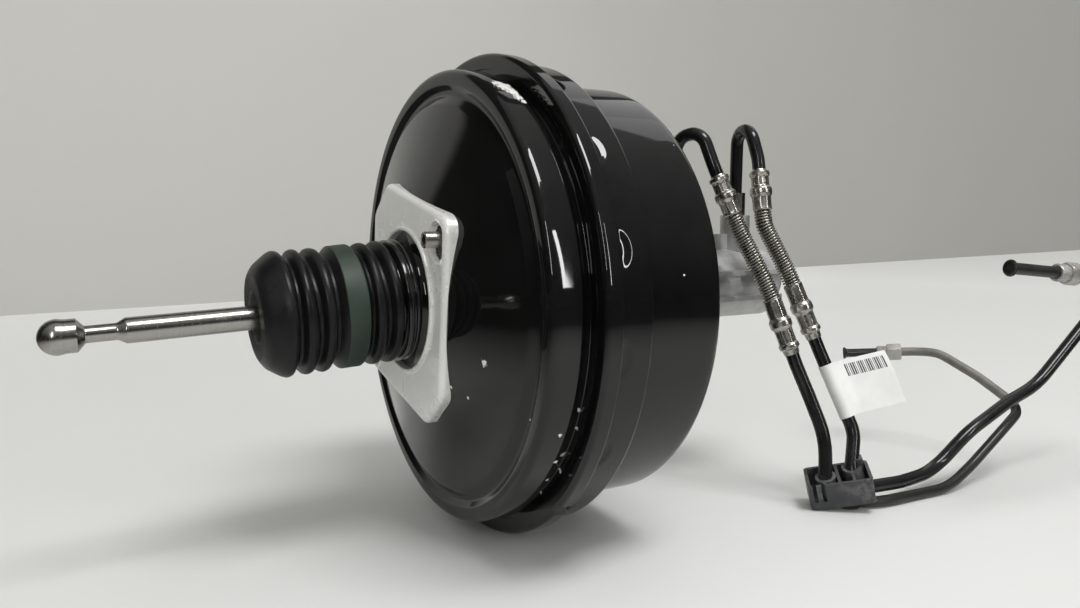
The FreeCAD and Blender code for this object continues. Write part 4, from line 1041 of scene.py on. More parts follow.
    def plate_shape(self) -> Shape:
        """Mounting plate: rolled edges, raised rim and a dimple round each stud."""
        angles = np.linspace(-math.pi, math.pi, 720, endpoint=False)
        rim, edge, back, mouth, foot = self.plate_rim, self.plate_edge, self.plate_wall, 2.2, 0.5
        rings: list[tuple[np.ndarray | float, np.ndarray | float]] = [
            (rim - inward, x) for inward, x in (
                (mouth, 2.4), (mouth, -0.7), (2.0, -1.2), (1.5, -1.4), (0.5, -1.4), (0.1, -1.15), (0.0, -0.7),
                (-0.1, -0.2), (-foot, 0.0),
            )
        ]
        inner = self.outline(edge, angles)
        steps = 56
        for share in np.arange(1, steps) / steps:
            radius = (rim + foot) * (1 - share) + inner * share
            rings.append((radius, self.dimples(radius, angles)))
        for a in np.radians(np.linspace(0, 90, 9)):
            rings.append((self.outline(edge * (1 - math.sin(a)), angles), edge * (1 - math.cos(a))))
        border, inner_border = self.outline(0, angles), self.outline(2.3, angles)
        for radius in (border, inner_border):
            cone = back + (radius - self.cone_start) * self.cone_slope
            rings.append((radius, np.minimum(self.plate_depth, cone)))
        rings += [(inner_border, back), (rim - mouth, back)]
        shape = grid_shape(np.stack([polar(x, r, angles) for r, x in rings]), wrap=True)
        return Shape(shape.points, shape.faces, self.windows(shape))

    def windows(self, shape: Shape) -> list[int]:
        """Tag the floor of each window, where the black shell shows.

        Args:
            shape: The whole plate.

        Returns:
            Tag of each face.
        """
        x, y, z = shape.points[np.array(shape.faces)].mean(axis=1).T
        floor = (x > self.window_floor - 0.4) & (x < self.window_floor + 0.2)
        inside = np.minimum(*self.reaches(y, z)) < 1.0
        return (floor & inside).astype(int).tolist()

    def reaches(self, y: np.ndarray, z: np.ndarray) -> list[np.ndarray]:
        """Distance from each stud's window, 1 on its edge.

        Args:
            y: Place across.
            z: Height.

        Returns:
            One array for each stud.
        """
        half_y, half_z = self.window_size
        lifts = (-self.window_rise, self.window_rise)
        return [np.hypot((y - cy) / half_y, (z - cz - lift) / half_z)
                for (cy, cz), lift in zip(self.stud_places(), lifts)]

    def stud_places(self) -> list[Flat]:
        """Place of each stud across the axis."""
        angles = [math.radians(self.stud_angle + turn) for turn in (0, 180)]
        return [(self.stud_pitch * math.cos(a), self.stud_pitch * math.sin(a)) for a in angles]

    def dimples(self, radius: np.ndarray, angles: np.ndarray) -> np.ndarray:
        """Station of the plate's face, sunk round the studs.

        Args:
            radius: Distance of each point from the axis.
            angles: Angle of each point.

        Returns:
            Station of each point.
        """
        station = np.zeros_like(radius)
        for reach in self.reaches(radius * np.cos(angles), radius * np.sin(angles)):
            station += self.window_floor * smooth_step((1.07 - reach) / 0.13)
            station -= self.window_lip * np.exp(-((reach - 1.2) / 0.08) ** 2)
        return station

    def stud_shape(self) -> Shape:
        """Both hollow studs."""
        bore, tip, floor, root = 2.6, -7.0, 1.8, 3.6
        corners = [(root, self.stud_r, 0.0), (tip, self.stud_r, 0.5), (tip, bore, 0.4), (floor, bore, 0.0)]
        stud = lathe(rounded(corners) + [(floor, 0.02), (root, 0.02)], 64)
        one, two = (stud.moved(Matrix.Translation((0, y, z))) for y, z in self.stud_places())
        return one.plus(two)


@dataclass
class PedalEnd:
    """Dust boot and push rod."""

    droop: float = 4.0
    boot_pivot: float = -9.0
    ridge_r: float = 31.6
    valley_r: float = 27.4
    pitch: float = 8.9
    first: float = -13.4
    band: Flat = (-38.5, -29.0)
    end: float = -76.93
    hole_r: float = 12.5
    bore_r: float = 25.6
    cuff_end: float = -10.4
    rod_droop: float = 2.44
    swivel: float = 35.0

    def build(self, palette: Palette) -> None:
        """Make and dress the boot and the rod.

        Args:
            palette: The materials.
        """
        boot = palette.piece("dust_boot_bellows", self.boot_shape(), Slot.BOOT, "dust_boot", None, 60.0,
                             (Slot.BOOT, "green_band", "gloss_rubber", "grey_rubber"))
        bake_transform(boot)
        palette.piece("push_rod_turned", self.rod_shape(), Slot.STEEL, "push_rod", Body.PUSH_ROD, 40.0)

    def boot_shape(self) -> Shape:
        """Bellows with rounded ridges, the flat band and the closed rear end."""
        corners: list[Corner] = [(-5.0, 29.55, 0.0), (-3.0, 29.6, 0.3), (-3.0, 31.7, 0.7), (-4.8, 31.7, 0.7),
                                 (-5.2, 30.5, 0.4), (-6.2, 30.5, 0.4), (-6.6, 31.7, 0.7), (-9.0, 31.7, 0.8)]

        def ridge(x: float) -> None:
            """Add one rounded ridge."""
            corners.extend([(x + 1.9, self.ridge_r - 0.5, 1.2), (x + 0.5, self.ridge_r, 1.0),
                            (x - 0.5, self.ridge_r, 1.0), (x - 1.9, self.ridge_r - 0.5, 1.2)])

        def valley(x: float) -> None:
            """Add one rounded valley."""
            corners.extend([(x + 0.8, self.valley_r, 0.7), (x - 0.8, self.valley_r, 0.7)])

        valley(-10.2)
        ridge(self.first)
        valley(self.first - self.pitch / 2)
        ridge(self.first - self.pitch)
        valley(self.first - 1.36 * self.pitch)
        corners.extend([(self.band[1], self.ridge_r, 0.8), (self.band[0], self.ridge_r, 0.8)])
        for i in range(3):
            valley(self.band[0] - (i + 0.5) * self.pitch)
            ridge(self.band[0] - (i + 1) * self.pitch)
        last = self.band[0] - 3 * self.pitch
        corners = corners[:-1] + [(last - 2.6, self.ridge_r - 1.0, 3.0)]
        corners += [(self.end + x, r, bend) for x, r, bend in (
            (2.2, 26.0, 6.0), (0.0, 22.0, 4.0), (0.0, self.hole_r + 0.4, 1.2), (1.5, self.hole_r, 0.8),
            (5.0, self.hole_r, 1.0), (5.0, self.bore_r - 2.0, 2.0), (9.0, self.bore_r, 0.0),
        )]
        corners.append((-8.0, self.bore_r, 0.0))
        outer = resampled(rounded(corners, 14.0), 2.0)
        rubber, green, gloss, grey = range(4)
        tags = []
        for (x0, r0), (x1, r1) in zip(outer, outer[1:] + outer[:1]):
            mid, radius = (x0 + x1) / 2, (r0 + r1) / 2
            banded = self.band[0] - 0.2 < mid < self.band[1] + 0.2 and radius > 31.2
            lip = mid < self.end + 5.2 and self.hole_r - 0.2 < radius < self.hole_r + 0.6
            tags.append(green if banded else gloss if mid > self.cuff_end else grey if lip else rubber)
        return lathe(outer, 240, tags).pushed(self.settle).moved(drooped(self.droop, self.boot_pivot))

    def settle(self, points: np.ndarray) -> np.ndarray:
        """Let the moulded rubber waver a little.

        Args:
            points: Points of the even bellows.

        Returns:
            The wavering points.
        """
        x, y, z = points.T
        r = np.hypot(y, z)
        turn = np.arctan2(z, y)
        free = smooth_step((-12.0 - x) / 8.0) * smooth_step((r - 20.0) / 6.0)
        wave = 0.154 * np.sin(2 * turn + x * 0.09) + 0.084 * np.sin(5 * turn - x * 0.21)
        sway, shrink = 0.35, 0.3
        return polar(x + free * sway * np.sin(turn * 2 + x * 0.35), r + free * (wave - shrink), turn)

    @staticmethod
    def ball(centre: float, radius: float, start: float, end: float) -> list[Flat]:
        """Outline of a ball between two angles in degrees."""
        angles = np.radians(np.linspace(start, end, 22))
        return [(centre + radius * math.cos(a), max(radius * math.sin(a), 0.02)) for a in angles]

    def rod_shape(self) -> Shape:
        """Turned rod with its ball ends."""
        band_r = 7.6
        corners = [(-157.2, band_r, 0.0), (-152.7, band_r, 0.5), (-149.5, 3.9, 1.2), (-136.5, 3.9, 2.5),
                   (-133.0, 5.95, 1.5), (-58.0, 5.95, 0.4), (-58.0, 3.8, 0.0), (30.7, 3.8, 0.5)]
        rear, front = self.ball(-160.0, 8.1, 180.0, 92.0), self.ball(35.0, 5.0, 130.0, 0.0)
        profile = rear + resampled(rounded(corners), 8.0) + front[1:]
        return lathe(profile, 96).moved(drooped(self.rod_droop, self.swivel))


@dataclass(frozen=True)
class Coil:
    """One coil spring: its ends along X, radius to the wire's middle, wire and turns, its body and its joint.

    A spring with a joint gets a mesh of its own; its still end and the share of its length that it keeps are
    not used.
    """

    node: str
    ends: Flat
    radius: float
    wire: float
    turns: float
    body: Body
    joint: str = ""
    still: float = 0.0
    keep: float = 1.0


@dataclass
class InnerWorks:
    """Springs and diaphragms inside the booster and its master cylinder."""

    coils: tuple[Coil, ...] = (
        Coil("primary_spring", (140.0, 172.0), 8.8, 1.6, 7.0, Body.SECONDARY_PISTON,
             "primary_piston_slide", 172.0, 0.5),
        Coil("secondary_spring", (200.0, 246.0), 8.8, 1.6, 10.0, Body.HOUSING,
             "secondary_piston_slide", 246.0, 0.652),
        Coil("poppet_spring", (5.5, 17.3), 11.9, 1.2, 4.0, Body.POWER_PISTON),
        Coil("valve_return_spring", (-6.0, 2.9), 11.9, 1.2, 3.5, Body.POWER_PISTON,
             "valve_plunger_slide", 2.9, 0.83),
    )
    return_still: float = 117.9
    return_keep: float = 0.25
    skins: tuple[tuple[str, float, float], ...] = (
        ("rear_diaphragm", 46.9, 24.2), ("front_diaphragm", 63.6, 72.2),
    )

    def build(self, palette: Palette) -> None:
        """Make and dress the springs and the diaphragms.

        Args:
            palette: The materials.
        """
        for coil in self.coils:
            piece = palette.piece(f"{coil.node}_coil", self.coil_shape(coil), Slot.SPRING, coil.node,
                                  body=coil.body, crease=80.0)
            if coil.joint:
                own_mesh(piece)
        node = "piston_return_spring"
        spring = enter("conical_return_spring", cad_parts[node].data.copy(), node)
        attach(spring, Body.HOUSING.value)
        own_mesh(spring)
        for node, still, moving in self.skins:
            skin = enter(f"{node}_skin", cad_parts[node].data.copy(), node)
            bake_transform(skin)

    @staticmethod
    def coil_shape(coil: Coil) -> Shape:
        """Helix of round wire with a closed turn at each end.

        Args:
            coil: The spring.

        Returns:
            The spring's shape.
        """
        per_turn, closed = 28, 1.0
        first, last = coil.ends[0] + coil.wire / 2, coil.ends[1] - coil.wire / 2
        count = round(coil.turns * per_turn)
        line: list[Vector] = []
        for k in range(count + 1):
            turn = k / per_turn
            share = min(max((turn - closed) / (coil.turns - 2 * closed), 0.0), 1.0)
            lift = coil.wire * min(turn, closed)
            drop = coil.wire * min(coil.turns - turn, closed)
            x = (first + lift) * (1 - share) + (last - drop) * share
            a = 2 * math.pi * turn
            line.append(Vector((x, coil.radius * math.cos(a), coil.radius * math.sin(a))))
        return swept(line, coil.wire / 2, 10)


@dataclass(frozen=True)
class PipeRun:
    """One run from its port to its open end: short pipe, hose with ferrules and guard coil, long pipe, nut.

    The places are those that the run passes. Its coat ends past a bend of the long pipe. Where a
    dull bend is given, the pipe is bare from there to the nut.
    """

    side: str
    nut: Body
    port_x: float
    upper: tuple[Point3, ...]
    hose_top: Point3
    hose_foot: Point3
    ferrule_foot: Point3
    lower: tuple[Point3, ...]
    coat_bend: int
    coat_past: float
    nut_slack: float
    dull_bend: int = 0
    coat_r: float = 4.0
    pipe_r: float = 3.15
    hose_r: float = 3.6
    hose_lead: float = 9.0
    guard_wire: float = 1.3
    guard_pitch: float = 1.74
    guard_r: float = 4.7
    lead: float = 7.0
    spacing: float = 1.6

    def build(self, palette: Palette) -> None:
        """Make and dress the run's pieces.

        Args:
            palette: The materials.
        """
        side = self.side
        palette.piece(f"upper_pipe_{side}_formed", self.upper_pipe(), Slot.COATING, f"upper_pipe_{side}")
        for place, start, end, form in (
            ("upper", Vector(self.upper[-1]), Vector(self.hose_top), self.upper_ferrule),
            ("lower", Vector(self.hose_foot), Vector(self.ferrule_foot), self.lower_ferrule),
        ):
            ferrule = form((end - start).length).moved(aimed(start, end - start))
            node = f"{place}_ferrule_{side}"
            palette.piece(f"{node}_crimped", ferrule, Slot.ZINC, node, crease=40.0,
                          finishes=("bright_ferrule",))
        line = self.hose_line()
        rubber, coil = swept(line, self.hose_r, 32), self.guard(line)
        palette.piece(f"brake_hose_{side}_rubber", rubber, Slot.HOSE, f"brake_hose_{side}")
        palette.piece(f"hose_guard_{side}_coil", coil, Slot.SPRING, f"hose_guard_{side}", crease=80.0)
        palette.piece(f"lower_pipe_{side}_formed", self.lower_pipe(), Slot.COATING, f"lower_pipe_{side}",
                      finishes=(Slot.COATING, "thin_coat", "bare_pipe"))
        palette.piece(f"end_nut_{side}_hex", self.end_nut(), Slot.STEEL, f"end_nut_{side}", body=self.nut,
                      finishes=("dull_nut",))

    def upper_pipe(self) -> Shape:
        """Short formed pipe from a port nut to its ferrule."""
        end = Vector(self.upper[-1])
        up = (end - Vector(self.hose_top)).normalized()
        route = [Vector(p) for p in ((self.port_x, 0, 32.0), (self.port_x, 0, 65.6), *self.upper[:-1])]
        route += [end + up * self.lead, end]
        return swept(even_line(bent_line(route), self.spacing), self.coat_r, 32)

    def lower_route(self) -> list[Vector]:
        """Corners of the long pipe, from its ferrule to its flared end."""
        foot = Vector(self.ferrule_foot)
        away = (foot - Vector(self.hose_foot)).normalized()
        return [foot, foot + away * self.lead] + [Vector(p) for p in self.lower]

    def lower_pipe(self) -> Shape:
        """Long formed pipe, coated up to a bend and then bare, with its flare."""
        route = self.lower_route()
        bend = route[self.coat_bend]
        stop = bend + (route[self.coat_bend + 1] - bend).normalized() * self.coat_past
        line = even_line(bent_line(route), self.spacing)
        cut = min(range(len(line)), key=lambda k: (line[k] - stop).length)
        coated = line[:cut] + [stop]
        sizes = [self.coat_r] * (len(coated) - 2) + [self.coat_r - 0.15, self.pipe_r + 0.05]
        under_coat, thin, bare = 6, 1, 2
        rest = line[max(cut - under_coat, 0):]
        tags = [thin] * (len(rest) - 1)
        if self.dull_bend:
            edge = min(range(len(rest)), key=lambda k: (rest[k] - route[self.dull_bend]).length)
            nut = len(rest) - 1 - round(self.nut_slack / self.spacing)
            tags = [bare if edge <= k < nut else thin for k in range(len(rest) - 1)]
        back = (line[-2] - line[-1]).normalized()
        mouth = [(0.0, 1.7, 0.0), (0.0, 3.7, 0.4), (1.0, 4.7, 0.4), (2.6, 3.2, 0.6), (4.0, 3.16, 0.0)]
        flare = lathe(rounded(mouth) + [(4.0, 1.7)], 48).moved(aimed(line[-1], back)).tagged(thin)
        return swept(coated, sizes, 32).plus(swept(rest, self.pipe_r, 28, tags), flare)

    def end_nut(self) -> Shape:
        """Loose tube nut: threaded shank and hexagon."""
        route = self.lower_route()
        back = (route[-2] - route[-1]).normalized()
        profile: list[Flat] = [(0.0, 3.3), (0.0, 4.2), (0.6, 4.5)]
        turns, pitch = 7, 0.8
        for k in range(turns):
            x = (k + 1) * pitch
            profile += [(x, 4.85), (x + 0.25, 4.9), (x + 0.5, 4.4), (x + 0.6, 4.4)]
        profile += [(6.9, 4.5), (7.0, 5.2), (7.2, 5.2), (7.2, 3.3)]
        place = aimed(route[-1] + back * self.nut_slack, back)
        return lathe(profile, 64).plus(hexagon(7.0, 17.0, 6.35, 3.3)).moved(place)

    def hose_line(self) -> list[Vector]:
        """Centre line of the hose between its two ferrules."""
        top, foot = Vector(self.hose_top), Vector(self.hose_foot)
        down = (top - Vector(self.upper[-1])).normalized()
        away = (Vector(self.ferrule_foot) - foot).normalized()
        route = [top, top + down * self.hose_lead, foot - away * self.hose_lead, foot]
        return even_line(bent_line(route, 400.0, 1.5), 0.5)

    def guard(self, line: Sequence[Vector]) -> Shape:
        """Guard coil wound round the hose.

        Args:
            line: The hose's centre line.

        Returns:
            The coil's shape.
        """
        turns = sum((b - a).length for a, b in zip(line, line[1:])) / self.guard_pitch
        count = int(turns * 26)
        sides = frames_along(line)
        wire: list[Vector] = []
        for k in range(count + 1):
            at = k / count * (len(line) - 1)
            j = min(int(at), len(line) - 2)
            side, up = sides[j]
            a = 2 * math.pi * turns * k / count
            arm = side * (self.guard_r * math.cos(a)) + up * (self.guard_r * math.sin(a))
            wire.append(line[j].lerp(line[j + 1], at - j) + arm)
        return swept(wire, self.guard_wire / 2, 8)

    @staticmethod
    def upper_ferrule(length: float) -> Shape:
        """Ferrule between the short pipe and the hose, built from its pipe end.

        Args:
            length: Its length.

        Returns:
            The ferrule's shape.
        """
        corners = [(0.0, 4.3, 0.0), (0.8, 4.6, 0.4), (1.3, 5.9, 0.7), (3.4, 6.2, 0.8), (4.4, 5.4, 0.8),
                   (10.6, 5.5, 1.2), (12.0, 6.7, 1.6), (15.2, 6.7, 1.8), (17.2, 5.75, 1.6),
                   (length - 0.7, 5.7, 0.4), (length, 5.0, 0.2), (length, 3.62, 0.0)]
        shape = lathe(resampled(rounded(corners), 0.8) + [(0.2, 3.62)], 96)
        return shape.pushed(lambda p: crimp(p, ((4.2, 11.2, 0.5), (17.0, length - 1.2, 0.32))))

    @staticmethod
    def lower_ferrule(length: float) -> Shape:
        """Ferrule between the hose and the long pipe, built from its hose end.

        Args:
            length: Its length.

        Returns:
            The ferrule's shape.
        """
        corners = [(0.0, 3.62, 0.0), (0.0, 5.0, 0.2), (0.7, 5.7, 0.4), (12.0, 5.75, 1.4), (14.0, 6.7, 1.7),
                   (17.4, 6.7, 1.7), (19.2, 5.6, 1.4), (28.0, 5.5, 0.9), (29.2, 6.15, 0.8), (31.2, 6.1, 0.8),
                   (32.2, 4.9, 0.6), (length, 4.5, 0.0)]
        shape = lathe(resampled(rounded(corners), 0.8) + [(length, 4.02)], 96)
        return shape.pushed(lambda p: crimp(p, ((1.2, 12.6, 0.32), (18.8, 28.6, 0.5))))


PIPE_RUNS = (
    PipeRun(
        side="near", nut=Body.NEAR_NUT, port_x=180.0,
        upper=((181.5, 1, 92.0), (187.0, -16, 95.0), (192.5, -25, 68.2)),
        hose_top=(199.4, -32, 44.4), hose_foot=(215.3, -50, -6.1), ferrule_foot=(223.4, -60, -38.9), lower=(
            (230.3, -68, -63.9), (233.8, -78.5, -87.7), (230.0, -83.5, -125.8), (262.0, -97.3, -126.0),
            (292.0, -98, -126.6), (323.0, -99.6, -126.6), (347.0, -99, -115.5), (380.1, -100, -94.2),
            (402.5, -96, -86.0), (406.0, -62, -70.0), (403.0, -32, -57.0), (397.5, -19, -57.3),
            (362.4, 20, -61.3),
        ),
        coat_bend=4, coat_past=21.0, nut_slack=24.0, dull_bend=10,
    ),
    PipeRun(
        side="far", nut=Body.FAR_NUT, port_x=230.5,
        upper=((229.0, -2, 97.0), (223.0, -20, 98.0), (223.6, -28, 72.1)),
        hose_top=(222.6, -33, 47.0), hose_foot=(234.2, -48, 2.1), ferrule_foot=(243.9, -58, -30.9), lower=(
            (248.9, -65.1, -50.7), (254.6, -74.5, -74.6), (257.6, -79.5, -87.3), (240.9, -91.5, -117.0),
            (285.0, -92.6, -119.0), (322.0, -88, -119.5), (349.0, -93.5, -96.0), (386.8, -97, -78.8),
            (412.0, -100, -70.0), (453.4, -105, -33.5), (478.0, -113, -4.0), (473.0, -142, 14.0),
            (441.0, -162, 16.0), (388.0, -168, 13.5), (338.0, -168, 11.0), (274.0, -160, 17.0),
        ),
        coat_bend=16, coat_past=6.0, nut_slack=36.0,
    ),
)


def crimp(points: np.ndarray, spans: Sequence[tuple[float, float, float]]) -> np.ndarray:
    """Press flats round a turned piece, as a crimping tool's jaws leave them.

    Args:
        points: Points of the round piece along +X.
        spans: Start, end and depth of each crimped length.

    Returns:
        The crimped points.
    """
    x, y, z = points.T
    r, turn = np.hypot(y, z), np.arctan2(z, y)
    jaws, fade, bore = 8, 0.8, 4.5
    facet = 0.5 - 0.5 * np.cos(jaws * turn)
    for start, end, depth in spans:
        inside = smooth_step((x - start) / fade) * smooth_step((end - x) / fade)
        r = np.where(r > bore, r - inside * depth * facet, r)
    return polar(x, r, turn)


def hexagon(start: float, end: float, corner_r: float, bore: float) -> Shape:
    """Hexagonal nut body along X with chamfered corners and a bore.

    Args:
        start: Station of its first face.
        end: Station of its last face.
        corner_r: Radius to its corners.
        bore: Radius of its bore.

    Returns:
        The nut's shape.
    """
    angles = np.linspace(0, 2 * math.pi, 120, endpoint=False)
    flat = corner_r * math.cos(math.pi / 6)
    fold = (angles + math.pi / 6) % (math.pi / 3) - math.pi / 6
    edge = np.minimum(flat / np.cos(fold), corner_r * 0.985)
    rows = []
    chamfer = ((0.0, flat - 0.05), (0.25, flat + 0.25), (0.7, corner_r))
    for x, cap in [(start + x, cap) for x, cap in chamfer] + [(end - x, cap) for x, cap in chamfer[::-1]]:
        rows.append(polar(x, np.minimum(edge, cap), angles))
    rows += [polar(x, bore, angles) for x in (end, start)]
    return grid_shape(np.stack(rows), wrap=True)


@dataclass
class Flag:
    """Paper label folded round the far pipe, its leaves stuck together."""

    start: Point3 = PIPE_RUNS[1].lower[0]
    end: Point3 = PIPE_RUNS[1].lower[1]
    shear: float = 0.15
    toward: Point3 = (0.86, -0.35, 0.1)
    width: float = 34.0
    reach: float = 40.0
    loop_r: float = 4.35
    closing: float = 11.0
    paper: float = 0.2
    curl: float = 0.005
    wave: float = 0.5
    bar: float = 0.48
    bars_span: Flat = (10.5, 37.5)
    bars_place: Flat = (2.2, 10.4)

    def build(self, palette: Palette) -> None:
        """Make and dress the flag.

        Args:
            palette: The materials.
        """
        first, last = Vector(self.start), Vector(self.end)
        along = (last - first).normalized()
        toward = Vector(self.toward)
        across = (toward - along * toward.dot(along)).normalized()
        turn = Matrix((along, across, along.cross(across))).transposed().to_4x4()
        overhang = (self.width - (last - first).length) / 2
        place = Matrix.Translation(first - along * overhang) @ turn
        palette.piece("pipe_flag_folded", self.shape().moved(place), Slot.PAPER, "paper_flag", crease=50.0,
                      finishes=(Slot.PAPER, "ink"))

    def shape(self) -> Shape:
        """Strip of paper from one leaf's edge round the pipe to the other's."""
        touch = math.acos(self.loop_r / self.closing)
        leaf_run = self.reach - self.closing
        count = round(leaf_run / self.bar)
        lift = self.paper * 0.75
        line: list[Flat] = [(self.reach - leaf_run * k / count, lift) for k in range(count + 1)]
        tip = (self.loop_r * math.cos(touch), self.loop_r * math.sin(touch))
        line += [(self.closing + (tip[0] - self.closing) * k / 6, lift + (tip[1] - lift) * k / 6)
                 for k in range(1, 7)]
        for a in np.linspace(touch, math.pi, 23)[1:]:
            line.append((self.loop_r * math.cos(a), self.loop_r * math.sin(a)))
        whole = line + [(y, -z) for y, z in line[-2::-1]]
        ys, zs = np.array(whole).T
        columns = 49
        xs = np.linspace(0, self.width, columns)
        rows = np.empty((len(whole), columns, 3))
        for j, x in enumerate(xs):
            curl = self.curl * (x - self.width / 2) ** 2 * smooth_step((ys - 14.0) / 26.0)
            wave = self.wave * np.sin(x * 0.16 + 0.5) * smooth_step((ys - 12.0) / 22.0)
            down = x + self.shear * np.clip(ys - self.loop_r, 0, None)
            rows[:, j] = np.stack([down, ys, zs + wave - curl], 1)
        run = np.roll(rows, -1, 0) - np.roll(rows, 1, 0)
        run[0], run[-1] = rows[1] - rows[0], rows[-1] - rows[-2]
        normal = np.cross(run, np.array([1.0, 0, 0]))
        normal /= np.linalg.norm(normal, axis=2, keepdims=True)
        one, two = rows + normal * self.paper / 2, rows - normal * self.paper / 2
        shape = grid_shape(np.concatenate([one, two[:, ::-1]], axis=1), caps=True)
        tags = list(shape.tags)
        ink = 1
        for i in range(count):
            middle = (ys[i] + ys[i + 1]) / 2
            if not self.bars_span[0] < middle < self.bars_span[1] or i * 7 % 11 < 5:
                continue
            for j in range(2 * columns):
                at = j if j < columns else 2 * columns - 1 - j
                leaf = (j < columns) == (normal[i, 0, 2] > 0)
                if leaf and self.bars_place[0] < xs[at] < self.bars_place[1]:
                    tags[i * 2 * columns + j] = ink
        return Shape(shape.points, shape.faces, tags)


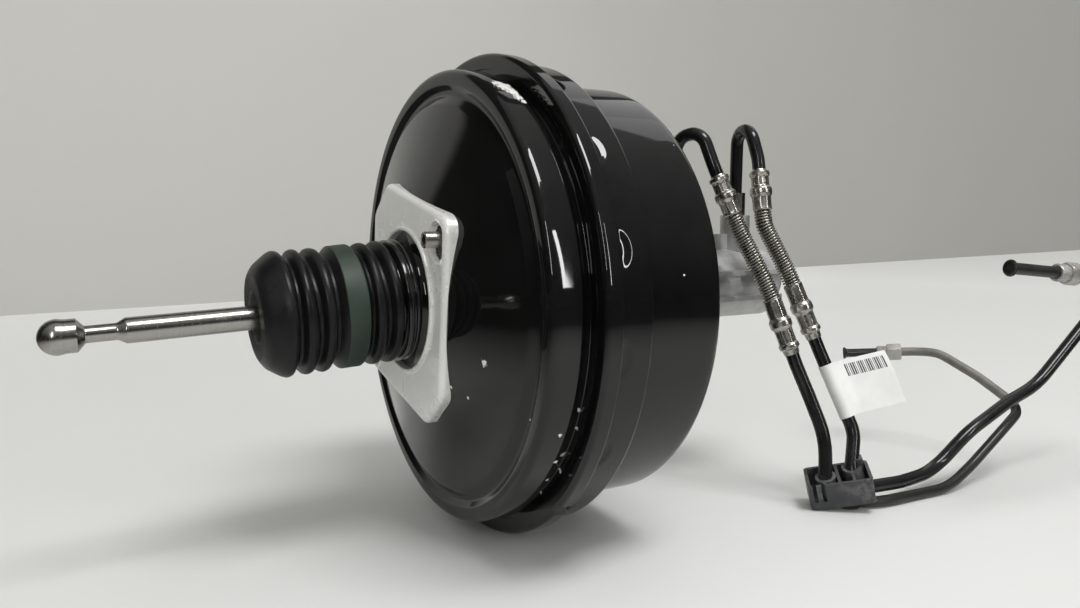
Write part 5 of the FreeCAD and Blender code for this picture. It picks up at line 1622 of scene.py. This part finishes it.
@dataclass
class Studio:
    """Pale table, wall, lights and camera."""

    eye: Point3 = (-160.2, -423.0, 45.7)
    target: Point3 = (82.8, 0.0, -6.66)
    focal_px: float = 850.0
    photo_width: float = 1080.0
    photo_middle: Flat = (540.0, 304.0)
    table_z: float = -130.0
    wall_left: Flat = (0.0, 316.0)
    wall_right: Flat = (1080.0, 250.0)

    def build(self) -> None:
        """Set the table, the wall, the lights and the camera."""
        self.camera()
        self.table()
        self.wall()
        self.light("key_softbox", (0.25, -0.75, 1.5), (0.08, 0.0, 0.0), (0.9, 0.5), 20.0)
        self.light("window_strip", (-0.75, -0.95, 0.5), (0.06, 0.0, 0.02), (0.07, 0.5), 2.2)
        self.light("second_strip", (0.62, -1.1, 0.42), (0.09, 0.0, 0.02), (0.06, 0.55), 2.0)
        self.light("rear_softbox", (1.1, 0.5, 1.0), (0.1, 0.0, 0.0), (0.8, 0.8), 1.6)
        self.world()
        bpy.context.scene.view_settings.view_transform = "Standard"

    def camera(self) -> None:
        """Camera at the photograph's place and angle."""
        data = bpy.data.cameras.new("camera")
        data.sensor_width = 36.0
        data.lens = self.focal_px / self.photo_width * data.sensor_width
        data.clip_start, data.clip_end = 0.01, 30.0
        camera = bpy.data.objects.new("camera", data)
        bpy.context.scene.collection.objects.link(camera)
        eye, target = Vector(self.eye) * MM, Vector(self.target) * MM
        camera.location = eye
        camera.rotation_euler = (target - eye).to_track_quat("-Z", "Y").to_euler()
        bpy.context.scene.camera = camera

    def on_table(self, pixel: Flat) -> Vector:
        """Point of the table under a pixel of the photograph.

        Args:
            pixel: Column and row.

        Returns:
            The point, in metres.
        """
        eye, target = Vector(self.eye) * MM, Vector(self.target) * MM
        ahead = (target - eye).normalized()
        right = ahead.cross(Vector((0, 0, 1))).normalized()
        up = right.cross(ahead)
        across, down = pixel[0] - self.photo_middle[0], pixel[1] - self.photo_middle[1]
        ray = ahead * self.focal_px + right * across - up * down
        return eye + ray * ((self.table_z * MM - eye.z) / ray.z)

    @staticmethod
    def flat_stage(name: str, corners: Sequence[Point3 | Vector], material: bpy.types.Material) -> None:
        """Add one flat of the studio.

        Args:
            name: Its name.
            corners: Its corners, in metres.
            material: Its material.
        """
        mesh = bpy.data.meshes.new(name)
        mesh.from_pydata([tuple(p) for p in corners], [], [(0, 1, 2, 3)])
        mesh.materials.append(material)
        flat = bpy.data.objects.new(name, mesh)
        bpy.context.scene.collection.objects.link(flat)

    def table(self) -> None:
        """Pale table top."""
        z = self.table_z * MM
        corners = [(x, y, z) for x, y in ((-8, -8), (8, -8), (8, 8), (-8, 8))]
        pale = self.plain("pale_table", (0.66, 0.665, 0.65), 0.5, 0.1, (0.1, -0.05, z), (0.34, 0.85), 0.3)
        self.flat_stage("table_top", corners, pale)

    def wall(self) -> None:
        """Grey-beige wall behind the table."""
        left, right = self.on_table(self.wall_left), self.on_table(self.wall_right)
        along = (right - left).normalized()
        spread, height = 4.0, 4.0
        left, right = left - along * spread, right + along * spread
        top = Vector((0, 0, height))
        matt = self.plain("matt_wall", (0.6, 0.595, 0.565), 0.8, 0.1, (0.55, 1.4, 0.0), (1.45, 1.6), 0.05,
                          one_sided=True)
        self.flat_stage("back_wall", [left, right, right + top, left + top], matt)

    @staticmethod
    def plain(name: str, colour: Colour, rough: float, specular: float, middle: Point3, reach: Flat,
              glow: float, one_sided: bool = False) -> bpy.types.Material:
        """Plain material with a faint mottle, mirrored by gloss only round its middle: beyond it a painted
        shade darkens what gloss mirrors, and a painted glow makes the camera see it paler.

        Args:
            name: Material name.
            colour: Base colour.
            rough: Roughness.
            specular: Specular level.
            middle: Middle of what gloss mirrors, in metres.
            reach: Distances from there at which the mirrored colour starts and ends to darken, a painted
                shade in reflections.
            glow: Strength of the painted glow, how much paler the camera sees it far from the middle.
            one_sided: Whether it can't be seen from behind.

        Returns:
            The material.
        """
        made = bpy.data.materials.new(name)
        made.use_nodes = True
        wires = Wiring(made.node_tree)
        shader = made.node_tree.nodes["Principled BSDF"]
        apart = wires.distance(middle)
        # painted shade in reflections: the colour that gloss mirrors darkens between the reach distances
        fade = wires.ramp(apart, *reach, kind="LINEAR")
        # painted glow: emission seen only by the camera, rising with the distance from the middle
        near, far = 0.35, 1.9
        painted_glow = wires.ramp(apart, near, far, (0.0, glow), "LINEAR")
        tone, mirrored = (
            wires.mix(mask, *(tuple(c * part for c in colour) for part in parts))
            for mask, parts in ((wires.noise(3.0, 2.0, 0.5), (1.0, 0.97)), (fade, (0.8, 0.03)))
        )
        rays = wires.add("ShaderNodeLightPath")
        for label, value in (
            ("Roughness", rough), ("Specular IOR Level", specular),
            ("Emission Color", (1.0, 0.995, 0.97, 1.0)),
            # gloss sees the painted dark colour, the camera sees the painted glow
            ("Base Color", wires.mix(rays["Is Glossy Ray"], tone, mirrored)),
            ("Emission Strength", wires.mix(rays["Is Camera Ray"], 0.0, painted_glow, "FLOAT")),
        ):
            wires.feed(shader.inputs[label], value)
        if one_sided:
            clear = wires.add("ShaderNodeBsdfTransparent")[0]
            behind = wires.add("ShaderNodeNewGeometry")["Backfacing"]
            seen = wires.add("ShaderNodeMixShader", {0: behind, 1: shader.outputs[0], 2: clear})[0]
            wires.feed(made.node_tree.nodes["Material Output"].inputs["Surface"], seen)
        return made

    @staticmethod
    def light(name: str, place: Point3, target: Point3, size: Flat, power: float) -> None:
        """Add one soft light.

        Args:
            name: Light name.
            place: Where it stands, in metres.
            target: What it faces, in metres.
            size: Width and height, in metres.
            power: Watts.
        """
        data = bpy.data.lights.new(name, "AREA")
        data.shape, data.size, data.size_y, data.energy = "RECTANGLE", size[0], size[1], power
        lamp = bpy.data.objects.new(name, data)
        bpy.context.scene.collection.objects.link(lamp)
        lamp.location = place
        lamp.rotation_euler = (Vector(target) - Vector(place)).to_track_quat("-Z", "Y").to_euler()

    @staticmethod
    def world() -> None:
        """Even light from all round, a little brighter above."""
        world = bpy.data.worlds.new("studio")
        bpy.context.scene.world = world
        world.use_nodes = True
        wires = Wiring(world.node_tree)
        height = wires.add("ShaderNodeSeparateXYZ", {0: wires.add("ShaderNodeTexCoord")["Generated"]})["Z"]
        levels = [wires.ramp(height, start, 1.0, span, "LINEAR")
                  for start, span in ((-0.2, (0.34, 0.8)), (0.15, (0.01, 0.3)))]
        back = world.node_tree.nodes["Background"].inputs
        mirrored = wires.add("ShaderNodeLightPath")["Is Glossy Ray"]
        wires.feed(back["Strength"], wires.mix(mirrored, *levels, "FLOAT"))
        wires.feed(back["Color"], (1.0, 0.995, 0.98, 1.0))


def main() -> None:
    """Build every sub-assembly in order."""
    logging.basicConfig(level=logging.INFO, format="%(name)s %(message)s")
    Studio().build()
    palette = Palette()
    palette.dress_nodes()
    Booster().build(palette)
    PedalEnd().build(palette)
    InnerWorks().build(palette)
    for run in PIPE_RUNS:
        run.build(palette)
    Flag().build(palette)


if __name__ == "__main__":
    main()
